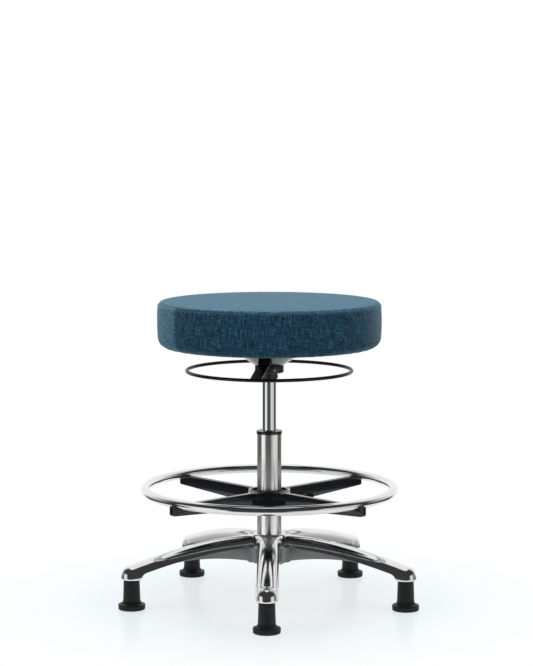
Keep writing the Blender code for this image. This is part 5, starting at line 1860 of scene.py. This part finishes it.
@dataclass
class SeatUnderside:
    """Black cloth under the seat with its staples."""

    staples: int = 36
    wire: float = 0.0006
    crown_half: float = 0.005
    inset: float = 0.006
    clear: float = 0.0008
    sag: float = 0.0012
    rings: int = 12
    steps: int = 144

    def cloth(self) -> Mesh:
        """The ring of black cloth, hanging a little between its edges.

        Returns:
            Its mesh, in place.
        """
        span = Span.of("dust_cover")
        inward = Span.of("mechanism_plate").radius + self.clear - span.radius
        shares = [i / self.rings for i in range(self.rings + 1)]
        upper = [(span.radius + inward * s, span.top - self.sag * sin(pi * s)) for s in shares]
        lower = [(radius, height - span.top + span.bottom) for radius, height in upper]
        mesh = moved(lathe("dust_cloth", upper + lower[::-1], self.steps, closed=True), AXIS)
        layer = mesh.uv_layers.new(name="cloth")
        for loop in mesh.loops:
            layer.data[loop.index].uv = mesh.vertices[loop.vertex_index].co.xy
        return mesh

    def staple(self) -> Mesh:
        """One flat staple crown, lying along the edge of the cloth."""
        height, wire, half = Span.of("dust_cover").bottom, self.wire, self.crown_half
        return slab("staple", (-wire, wire), (-half, half), (height - wire, height), CRISP)

    def dress(self) -> None:
        """Seat the cloth and its staples."""
        cloth = seat_piece("dust_cloth", self.cloth(), BLACK_CLOTH, Body.SEAT, "dust_cover")
        radius = Span.of("dust_cover").radius
        hole = Span.of("mechanism_plate").radius
        circle = radius - self.inset
        staples = pattern("dust_cloth_staples", self.staple(), self.staples, circle, 0.0, ZINC)
        seat_piece("dust_cloth_staples", staples, ZINC, Body.SEAT)


# Mechanism and release
@dataclass
class Mechanism:
    """Spun bowl, taper socket, and the bolts that hold them to the seat."""

    bowl_radius: float = 0.080
    neck_radius: float = 0.029
    swell: float = 0.0015
    sheet: float = 0.0025
    flange: float = 0.003
    flange_bend: float = 0.003
    wall_rows: int = 12
    socket_neck: float = 0.0205
    collar: float = 0.0175
    collar_height: float = 0.0125
    hub_round: float = 0.0025
    collar_round: float = 0.0015
    bore_taper: float = 0.0005
    slot_half: float = 0.013
    slot_height: float = 0.0123
    screw_azimuth: float = radians(-68.0)
    screw_radius: float = 0.0028
    screw_room: float = 0.006
    screw_proud: float = 0.0012
    screw_length: float = 0.007
    key_radius: float = 0.0016
    key_depth: float = 0.0025
    bolt_circle: float = 0.091
    bolts: int = 4
    bolt_head: float = 0.0053
    head_edge: float = 0.0006
    washer: float = 0.0055
    washer_face: float = 0.0008
    shank: float = 0.0029
    shank_sides: int = 20
    overlap: float = 0.0005
    steps: int = 128

    def wall(self, share: float) -> float:
        """Outer radius of the bowl, from 0 at its bottom to 1 at the flange."""
        straight = self.neck_radius + (self.bowl_radius - self.neck_radius) * share
        return straight + self.swell * 4 * share * (1.0 - share)

    def bowl(self) -> Mesh:
        """The bowl with its flange and strap slots.

        Returns:
            Its mesh, in place.
        """
        span = Span.of("mechanism_plate")
        low = span.bottom
        under = span.top - self.flange
        depth = under - low
        run = self.sheet * hypot(depth, self.bowl_radius - self.neck_radius) / depth
        shares = [i / self.wall_rows for i in range(self.wall_rows + 1)]
        outer = [(self.wall(1.0 - s), low + depth * (1.0 - s)) for s in shares]
        floor = self.sheet / depth
        inner = [floor + (1.0 - floor) * s for s in shares]
        neck = self.socket_neck + GAP
        corners = [(span.radius, span.top, ROUND), (span.radius, under, ROUND)]
        corners += [(*outer[0], self.flange_bend), *outer[1:-1], (*outer[-1], ROUND)]
        corners += [(neck, low), (neck, low + self.sheet)]
        corners += [(self.wall(s) - run, low + depth * s) for s in inner]
        corners.append((self.bowl_radius - run, span.top))
        bowl = spun("bowl", corners, self.steps)
        top = Span.of("release_strap").top + GAP
        wide = (-self.bowl_radius, self.bowl_radius)
        slot = slab("slot", wide, (top - self.slot_height, top), (-self.slot_half, self.slot_half))
        return moved(combined(bowl, [upright(slot, STRAP_AZIMUTH)], 'DIFFERENCE'), AXIS)

    def socket(self) -> Mesh:
        """The black hub and collar round the top of the gas cylinder.

        Returns:
            Its mesh, in place.
        """
        span = Span.of("taper_socket")
        hub, low = span.radius, span.bottom
        hub_top = Span.of("mechanism_plate").bottom - GAP
        hub_low = low + self.collar_height
        bore = Span.of("gas_cylinder").radius + GAP
        corners = [(self.socket_neck, span.top, CRISP), (self.socket_neck, hub_top), (hub, hub_top, SOFT),
                   (hub, hub_low, self.hub_round), (self.collar, hub_low, self.collar_round),
                   (self.collar, low, SOFT), (bore, low, KEEN), (bore - self.bore_taper, span.top)]
        mesh = spun("socket", corners, self.steps, 4)
        hole = rod("screw_hole", self.screw_radius + GAP, hub - self.screw_room, hub + OVERRUN)
        moved(hole, (0.0, 0.0, (hub_top + hub_low) / 2), (0.0, QUARTER, self.screw_azimuth))
        return moved(combined(mesh, [hole], 'DIFFERENCE'), AXIS)

    def set_screw(self) -> Mesh:
        """The socket's set screw with a hexagon recess.

        Returns:
            Its mesh, in place.
        """
        radius = self.screw_radius
        end = Span.of("taper_socket").radius + self.screw_proud
        start = end - self.screw_length
        corners = [(0.0, end), (radius, end, EASED), (radius, start, CRISP), (0.0, start)]
        key = rod("key", self.key_radius, end - self.key_depth, end + OVERRUN, HEXAGON)
        mesh = combined(spun("set_screw", corners, SCREW_SIDES, closed=False), [key], 'DIFFERENCE')
        moved(mesh, (0.0, 0.0, Span.of("socket_screw").middle), (0.0, QUARTER, self.screw_azimuth))
        return moved(mesh, AXIS)

    def bolt(self) -> Mesh:
        """One hexagon bolt with its pressed washer face.

        Returns:
            Its mesh, round the Z axis.
        """
        span = Span.of("seat_bolt_1")
        under = Span.of("mechanism_plate").top - self.flange - GAP
        low, side, edge = span.bottom, self.bolt_head, self.head_edge
        hexagon = [(0.0, under), (side, under), (side, low + edge), (side - edge, low), (0.0, low)]
        head = lathe("bolt", hexagon, HEXAGON)
        face = under - self.washer_face
        flange = [(0.0, under), (self.washer, under, HAIR), (self.washer, face, HAIR), (0.0, face)]
        washer = spun("bolt_washer", flange, SCREW_SIDES, 2, closed=False)
        shank = rod("bolt_shank", self.shank, under - self.overlap, span.top, self.shank_sides)
        return combined(head, [washer, shank], 'UNION')

    def dress(self) -> None:
        """Seat the bowl, the socket and the fixings."""
        seat_piece("mechanism_bowl", self.bowl(), SPUN_STEEL_PAINTED_SHADE, Body.SEAT, "mechanism_plate")
        seat_piece("socket_hub", self.socket(), HUB_PAINT, Body.SEAT, "taper_socket")
        seat_piece("socket_set_screw", self.set_screw(), DARK_ZINC, Body.SEAT, "socket_screw")
        bolts = pattern("seat_bolts", self.bolt(), self.bolts, self.bolt_circle, pi / self.bolts, ZINC)
        seat_piece("seat_bolts", bolts, ZINC, Body.SEAT, *numbered("seat_bolt", self.bolts))


@dataclass
class Release:
    """Wire ring and the flat strap that carries it."""

    ring: float = 0.168
    wire: float = 0.0035
    ring_steps: tuple[int, int] = (192, 20)
    width: float = 0.023
    thickness: float = 0.003
    flat_end: float = 0.0615
    step_run: float = 0.006
    step_drop: float = 0.012
    bend: float = 0.004
    edge: float = 0.0004

    def strap(self) -> Mesh:
        """The bent bar, through the bowl and down to the ring on both sides.

        Returns:
            Its mesh, in place.
        """
        level = Span.of("release_strap").top - self.thickness / 2
        tip = sqrt((self.ring - self.wire) ** 2 - (self.width / 2) ** 2) - GAP
        right = [(self.flat_end, level), (self.flat_end + self.step_run, level - self.step_drop),
                 (tip, Span.of("release_ring").middle)]
        line = [(-x, height) for x, height in reversed(right)] + right
        middle = rounded([(*spot, self.bend) for spot in line], 5, closed=False)
        upper, lower = [], []
        for i, (x, height) in enumerate(middle):
            before = Vector(middle[max(0, i - 1)])
            after = Vector(middle[min(len(middle) - 1, i + 1)])
            along = (after - before).normalized()
            across = Vector((-along.y, along.x)) * (self.thickness / 2)
            upper.append((x + across.x, height + across.y))
            lower.append((x - across.x, height - across.y))
        mesh = extruded("strap", upper + lower[::-1], -self.width / 2, self.width / 2)
        return moved(upright(softened(mesh, self.edge), STRAP_AZIMUTH), AXIS)

    def dress(self) -> None:
        """Seat the ring and the strap."""
        height = Span.of("release_ring").middle
        ring = bent_ring("release_wire", self.ring, self.wire, height, self.ring_steps, BLACK_PAINT)
        seat_piece("release_wire_ring", ring, BLACK_PAINT, Body.RELEASE, "release_ring")
        seat_piece("release_strap_bar", self.strap(), BLACK_PAINT, Body.RELEASE, "release_strap")


# Foot ring
@dataclass
class FootRing:
    """Chromed ring on a moulded spider that slides on a split bush."""

    ring: float = 0.254
    tube: float = 0.0095
    ring_steps: tuple[int, int] = (224, 36)
    saddle_steps: tuple[int, int] = (160, 28)
    arms: int = 4
    arm_width: float = 0.0135
    root_depth: float = 0.033
    tip_depth: float = 0.020
    tip_round: float = 0.004
    lip: float = 0.004
    wall: float = 0.003
    edge: float = 0.0015
    hub_half: float = 0.043
    hub_round: float = 0.003
    hub_height: float = 0.0345
    hub_sink: float = 0.0005
    rim: float = 0.0067
    rim_height: float = 0.001
    rim_lip: float = 0.0042
    rim_sink: float = 0.0030
    rim_foot: float = 0.002
    bush_wall: float = 0.0095
    slit: float = 0.002
    slit_reach: float = 0.06
    flange: float = 0.003
    channel_inset: float = 0.003
    channel_end: float = 0.008
    clamp_hole: float = 0.0046
    screw_head: float = 0.0042
    screw_sink: float = 0.0033
    screw_tip: tuple = ((0.0, 0.0), (0.0016, 0.0), (0.0021, 0.001))
    screw_neck: Point = (0.0021, 0.003)
    screw_pan: tuple = ((0.0041, 0.003, HAIR), (0.0041, 0.0012, ROUND), (0.0028, 0.0, ROUND), (0.0, 0.0))
    recess: Corner = (0.002, 0.0004, 0.0016)
    steps: int = 96

    def __post_init__(self) -> None:
        """Work out the heights that the pieces share."""
        self.height = Span.of("foot_ring").middle
        self.top = Span.of("foot_ring_spider").top - self.rim_height
        self.bottom = self.top - self.hub_sink - self.hub_height
        self.bore = Span.of("column_tube").radius + GAP + self.bush_wall + GAP

    def arm(self) -> Mesh:
        """One tapered arm with rounded tip and edges.

        Returns:
            Its mesh, along the X axis.
        """
        root = self.bore + self.wall
        tip = self.ring + self.tube + GAP + self.lip
        low = self.top - self.root_depth
        corners = [(root, self.top), (tip, self.top, self.tip_round),
                   (tip, self.top - self.tip_depth, self.tip_round), (self.hub_half, low), (root, low)]
        mesh = extruded("arm", rounded(corners, 5), -self.arm_width / 2, self.arm_width / 2)
        return upright(softened(mesh, self.edge))

    def turned(self, mesh: Mesh) -> list[Mesh]:
        """Copies of a mesh along each arm."""
        turns = [(2 * k + 1) * pi / self.arms for k in range(self.arms)]
        return [moved(mesh.copy(), turn=(0.0, 0.0, turn)) for turn in turns]

    def spider(self) -> Mesh:
        """Square hub with four arms, hollow below, saddled for the ring.

        Returns:
            Its mesh, in place.
        """
        half = self.hub_half
        wide = (-half, half)
        hub = slab("hub", wide, wide, (self.bottom, self.top - self.hub_sink), self.hub_round, 4)
        outer = self.bore + self.rim
        inner = self.bore - self.wall
        crest = self.top + self.rim_height
        foot = self.bottom + self.rim_foot
        corners = [(outer, crest, SOFT), (outer, foot), (inner, foot), (inner, crest)]
        rim = spun("rim", corners, self.steps, 4)
        mesh = combined(softened(hub, self.edge), [rim] + self.turned(self.arm()), 'UNION')
        start = half * sqrt(2.0) + self.channel_inset
        end = self.ring - self.tube - self.channel_end
        side = self.arm_width / 2 - self.wall
        under = self.bottom - OVERRUN
        channel = slab("channel", (start, end), (-side, side), (under, self.top - self.wall), ROUND)
        hole = rod("bore", self.bore, under, crest + OVERRUN, self.steps)
        hollow = self.tube + GAP
        saddle = bent_ring("saddle", self.ring, hollow, self.height, self.saddle_steps, BLACK_PLASTIC)
        moved(saddle, -AXIS)
        sunk = self.top - self.tip_depth + self.screw_sink
        screw = moved(rod("screw_room", self.screw_head + GAP, under, sunk), (self.ring, 0.0, 0.0))
        clamp = rod("clamp_hole", self.clamp_hole, 0.0, half + OVERRUN)
        moved(clamp, (0.0, 0.0, self.bottom + self.hub_height / 2), (0.0, QUARTER, 0.0))
        floor = rod("rim_floor", outer - self.rim_lip, crest - self.rim_sink, crest + OVERRUN, self.steps)
        cutters = self.turned(channel) + self.turned(screw) + [hole, floor, saddle, clamp]
        return moved(combined(mesh, cutters, 'DIFFERENCE'), AXIS)

    def bush(self) -> Mesh:
        """Split bush with a flange under the spider.

        Returns:
            Its mesh, in place.
        """
        span = Span.of("foot_ring_bush")
        rim, top, low = span.radius, span.top, span.bottom
        bore = Span.of("column_tube").radius + GAP
        outer = bore + self.bush_wall
        shelf = low + self.flange
        corners = [(outer, top, SOFT), (outer, shelf), (rim, shelf, EDGE), (rim, low, EDGE),
                   (bore, low, DULL), (bore, top, SOFT)]
        half = self.slit / 2
        slot = slab("slit", (-self.slit_reach, 0.0), (-half, half), (low - OVERRUN, top + OVERRUN))
        return moved(combined(spun("bush", corners, self.steps), [slot], 'DIFFERENCE'), AXIS)

    def screw(self) -> Mesh:
        """One pan head screw up through the arm into the ring, with a crossed recess.

        Returns:
            Its mesh, round the Z axis.
        """
        span = Span.of("ring_screw_1")
        low = span.bottom
        corners = [(radius, span.top - down) for radius, down in self.screw_tip]
        corners.append((self.screw_neck[0], low + self.screw_neck[1]))
        corners += [(radius, low + up, *rounding) for radius, up, *rounding in self.screw_pan]
        mesh = spun("screw", corners, SCREW_SIDES, closed=False)
        long, thin, deep = self.recess
        bars = []
        for turn in (0.0, QUARTER):
            bar = slab("bar", (-long, long), (-thin, thin), (low - OVERRUN, low + deep))
            bars.append(moved(bar, turn=(0.0, 0.0, turn)))
        return combined(mesh, bars, 'DIFFERENCE')

    def dress(self) -> None:
        """Seat the ring, the spider, the bush and the screws."""
        ring = bent_ring("foot_tube", self.ring, self.tube, self.height, self.ring_steps, CHROME)
        seat_piece("foot_ring_tube", ring, CHROME, Body.FOOT_RING, "foot_ring")
        seat_piece("foot_ring_arms", self.spider(), ARM_PLASTIC, Body.FOOT_RING, "foot_ring_spider")
        seat_piece("foot_ring_split_bush", self.bush(), BUSH_NYLON, Body.BUSH, "foot_ring_bush")
        screws = pattern("ring_screws", self.screw(), self.arms, self.ring, pi / self.arms, ZINC)
        seat_piece("ring_screws", screws, ZINC, Body.FOOT_RING, *numbered("ring_screw", self.arms))


@dataclass
class ClampKnob:
    """Fluted knob on its threaded screw."""

    flutes: int = 10
    flute_depth: float = 0.0016
    flute_curve: float = 1.5
    flute_start: float = 0.66
    flute_run: float = 0.3
    front: tuple = ((0.0, 0.0008), (0.62, 0.0008, EASED), (0.72, 0.0, EDGE), (1.0, 0.0, 0.0022))
    back: tuple = ((1.0, 0.004, 0.0022), (0.66, 0.0015, ROUND), (0.62, 0.0, EASED))
    cap: float = 0.006
    screw_radius: float = 0.004
    pitch: float = 0.00125
    thread_depth: float = 0.0005
    rows_per_turn: int = 6
    thread_sides: int = 24
    steps: int = 120

    def placed(self, mesh: Mesh, span: Span) -> Mesh:
        """Lay a piece along X with its foot at the near end of a box."""
        return moved(mesh, (span.low.x, AXIS.y, span.middle), (0.0, QUARTER, 0.0))

    def knob(self) -> Mesh:
        """The knob, rounded at both rims, with a shallow dish in its cap and a collar behind.

        Returns:
            Its mesh, in place.
        """
        span = Span.of("clamp_knob")
        radius = (span.top - span.bottom) / 2
        length = span.high.x - span.low.x
        bore, floor = self.screw_radius + GAP, length - self.cap
        corners = [(radius * share, length - down, *rounding) for share, down, *rounding in self.front]
        corners += [(radius * share, up, *rounding) for share, up, *rounding in self.back]
        corners += [(bore, 0.0), (bore, floor), (0.0, floor)]
        rows = []
        for reach, height in rounded(corners, 5, closed=False):
            share = min(1.0, max(0.0, (reach / radius - self.flute_start) / self.flute_run))
            row = []
            for k in range(self.steps if reach > TINY else 1):
                angle = TURN * k / self.steps
                wave = ((1.0 - cos(self.flutes * angle)) / 2) ** self.flute_curve
                out = reach - self.flute_depth * share * wave
                row.append((out * cos(angle), out * sin(angle), height))
            rows.append(row)
        return self.placed(skinned("knob", rows), span)

    def screw(self) -> Mesh:
        """The clamp screw with a real thread.

        Returns:
            Its mesh, in place.
        """
        span = Span.of("clamp_screw")
        length = span.high.x - span.low.x
        count = int(length / self.pitch * self.rows_per_turn)
        rows = [[(0.0, 0.0, length)]]
        for i in range(count, -1, -1):
            height = length * i / count
            ease = min(1.0, 4 * i / count, 4 * (count - i) / count)
            row = []
            for k in range(self.thread_sides):
                share = k / self.thread_sides
                phase = (height / self.pitch - share) % 1.0
                cut = self.thread_depth * ease * abs(2 * phase - 1.0)
                angle = TURN * share
                reach = self.screw_radius - GAP / 2 - cut
                row.append((reach * cos(angle), reach * sin(angle), height))
            rows.append(row)
        rows.append([(0.0, 0.0, 0.0)])
        return self.placed(skinned("thread", rows), span)

    def dress(self) -> None:
        """Seat the knob and its screw."""
        seat_piece("clamp_fluted_knob", self.knob(), BLACK_PLASTIC, Body.KNOB, "clamp_knob")
        seat_piece("clamp_threaded_screw", self.screw(), ZINC, Body.KNOB, "clamp_screw")


@dataclass
class InnerWorks:
    """The CAD nodes that stay as they are and only get a finish."""

    finishes: tuple = (
        (PLYWOOD, ("seat_board",)),
        (ZINC, ("valve_body", "piston", "bearing_lower_washer", "bearing_upper_washer", "rod_clip",
                *numbered("tee_nut", 4))),
        (GROUND_STEEL, ("valve_pin", "piston_rod")),
        (WHITE_NYLON, ("rod_guide", "bearing_cage", "clamp_pad")),
        (RUBBER, ("rod_seal", "piston_seal", "bump_stop")),
    )

    def dress(self) -> None:
        """Give each kept node its finish."""
        for finish, names in self.finishes:
            for name in names:
                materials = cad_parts[name].data.materials
                materials.clear()
                materials.append(finish.material())
                LOG.info("%s: kept in %s", name, finish.name)


# Studio
@dataclass
class Studio:
    """Pale floor, soft lamps, white surround and the camera."""

    distance: float = 4.6
    azimuth: float = radians(1.0)
    camera_height: float = 1.035
    camera_side: float = -0.0057
    pitch: float = radians(5.985)
    lens: float = 122.8
    sensor: float = 36.0
    clip_end: float = 50.0
    lamps: tuple = (
        ("overhead", (0.0, 0.1, 2.4), (1.8, 1.8), 42.0, (0.0, 0.0, 0.0)),
        ("left_box", (-1.7, -1.6, 1.1), (1.2, 1.8), 11.0, (0.0, 0.0, 0.4)),
        ("right_box", (1.8, -1.5, 1.1), (1.2, 1.8), 8.0, (0.0, 0.0, 0.4)),
    )
    floor_radius: float = 0.66
    floor_sides: int = 96
    fade_start: float = 0.30
    fade_end: float = 0.62
    floor_white: float = 0.68
    floor_colour: Colour = (0.62, 0.92, 0.98)
    ambient: float = 0.32
    floor_rough: float = 0.22
    floor_levels: Point = (-0.0004, -0.004)
    low_walls: tuple = (
        (-180, 1.0), (-150, 1.0), (-140, 0.06), (-80, 0.06), (-71, 1.0), (-40, 1.0), (-32, 0.09),
        (14, 0.07), (24, 0.55), (40, 0.80), (82, 0.60), (92, 0.06), (140, 0.06), (150, 1.0), (180, 1.0),
    )
    mid_walls: tuple = (
        (-180, 1.0), (-140, 1.0), (-116, 0.5), (-96, 0.05), (-90, 0.05), (-82, 0.9), (-50, 0.9),
        (-42, 0.045), (42, 0.045), (50, 0.8), (82, 0.8), (90, 0.05), (96, 0.05), (116, 0.5), (140, 1.0),
        (180, 1.0),
    )
    high_walls: tuple = (
        (-180, 1.0), (-140, 1.0), (-116, 0.5), (-100, 0.045), (100, 0.045), (116, 0.5), (140, 1.0),
        (180, 1.0),
    )
    low_edge: Point = (-0.095, -0.05)
    high_edge: Point = (0.16, 0.24)
    roof_edge: Point = (0.955, 0.98)

    def camera(self) -> None:
        """Place the camera at the photograph's viewing angle."""
        data = bpy.data.cameras.new("camera")
        data.lens = self.lens
        data.sensor_width = self.sensor
        data.clip_end = self.clip_end
        camera = bpy.data.objects.new("camera", data)
        bpy.context.scene.collection.objects.link(camera)
        out = Vector((sin(self.azimuth), -cos(self.azimuth), 0.0))
        right = Vector((cos(self.azimuth), sin(self.azimuth), 0.0))
        place = AXIS + out * self.distance + right * self.camera_side
        camera.location = (place.x, place.y, self.camera_height)
        camera.rotation_euler = (QUARTER - self.pitch, 0.0, self.azimuth)
        bpy.context.scene.camera = camera

    def lamp(self, name: str, place: Corner, size: Point, power: float, aim: Corner) -> None:
        """Add one soft rectangular lamp that points at a place.

        Args:
            name: the lamp's name.
            place: where it stands.
            size: its width and height.
            power: its watts.
            aim: what it points at.
        """
        data = bpy.data.lights.new(name, 'AREA')
        data.shape = 'RECTANGLE'
        data.size, data.size_y = size
        data.energy = power
        lamp = bpy.data.objects.new(name, data)
        lamp.location = place
        lamp.visible_glossy = False
        lamp.rotation_euler = (Vector(aim) - Vector(place)).to_track_quat('-Z', 'Y').to_euler()
        bpy.context.scene.collection.objects.link(lamp)

    def floor(self) -> None:
        """A pale disc that fades to white away from the stool."""
        top, low = self.floor_levels
        mesh = moved(rod("floor", self.floor_radius, low, top, self.floor_sides), AXIS)
        material, net, shader = Finish("pale_floor", "", self.floor_colour, self.floor_rough).start()
        white = net.out("ShaderNodeEmission", {"Color": WHITE, "Strength": 1.0})
        share = net.between(net.length(around_axis(net)), self.fade_start, self.fade_end)
        soft = net.maths('MULTIPLY_ADD', share, 1.0 - self.floor_white, self.floor_white)
        path = net.add("ShaderNodeLightPath").outputs
        seen = net.maths('MAXIMUM', path["Is Camera Ray"], path["Is Glossy Ray"])
        seen = net.maths('MULTIPLY', soft, net.maths('MAXIMUM', seen, path["Is Transmission Ray"]))
        mix = net.out("ShaderNodeMixShader", {0: seen, 1: shader.outputs[0], 2: white})
        net.fill(material.node_tree.nodes["Material Output"], {"Surface": mix})
        mesh.materials.append(material)
        floor = guide(mesh)
        floor.name = "floor"

    def round_about(self, levels: Sequence[Point]) -> list[tuple[float, Colour]]:
        """Ramp stops from levels of white at degrees round the stool, 0 at the camera."""
        return [((angle + 180) / 360, (level, level, level)) for angle, level in levels]

    def world(self) -> None:
        """White to the camera, soft boxes and dark gaps in reflections, plain grey as fill light."""
        world = bpy.data.worlds.new("studio")
        bpy.context.scene.world = world
        world.use_nodes = True
        net = Wiring(world.node_tree)
        way = net.add("ShaderNodeTexCoord").outputs["Generated"]
        parts = net.add("ShaderNodeSeparateXYZ", {0: way}).outputs
        turn = net.maths('ARCTAN2', parts[0], net.maths('MULTIPLY', parts[1], -1.0))
        place = net.maths('MULTIPLY_ADD', turn, 0.5 / pi, 0.5)
        levels = (self.low_walls, self.mid_walls, self.high_walls)
        low, middle, high = (net.ramp(place, self.round_about(walls)) for walls in levels)
        walls = net.mix(net.between(parts[2], *self.low_edge), low, middle)
        walls = net.mix(net.between(parts[2], *self.high_edge), walls, high)
        studio = net.mix(net.between(parts[2], *self.roof_edge), walls, WHITE)
        path = net.add("ShaderNodeLightPath").outputs
        gloss = net.maths('MAXIMUM', path["Is Glossy Ray"], path["Is Transmission Ray"])
        light = net.mix(gloss, (self.ambient, self.ambient, self.ambient, 1.0), studio)
        shown = net.mix(path["Is Camera Ray"], light, WHITE)
        net.fill(world.node_tree.nodes["Background"], {"Color": shown})

    def build(self) -> None:
        """Set up the studio."""
        self.camera()
        for lamp in self.lamps:
            self.lamp(*lamp)
        self.floor()
        self.world()
        bpy.context.scene.view_settings.view_transform = 'Standard'


def main() -> None:
    """Build every sub-assembly in order, then the studio."""
    logging.basicConfig(level=logging.INFO, format="%(name)s: %(message)s")
    for part in (StarBase(), Glides(), Column(), SeatCushion(), SeatUnderside(), Mechanism(), Release(),
                 FootRing(), ClampKnob(), InnerWorks()):
        part.dress()
    Studio().build()


if __name__ == "__main__":
    main()
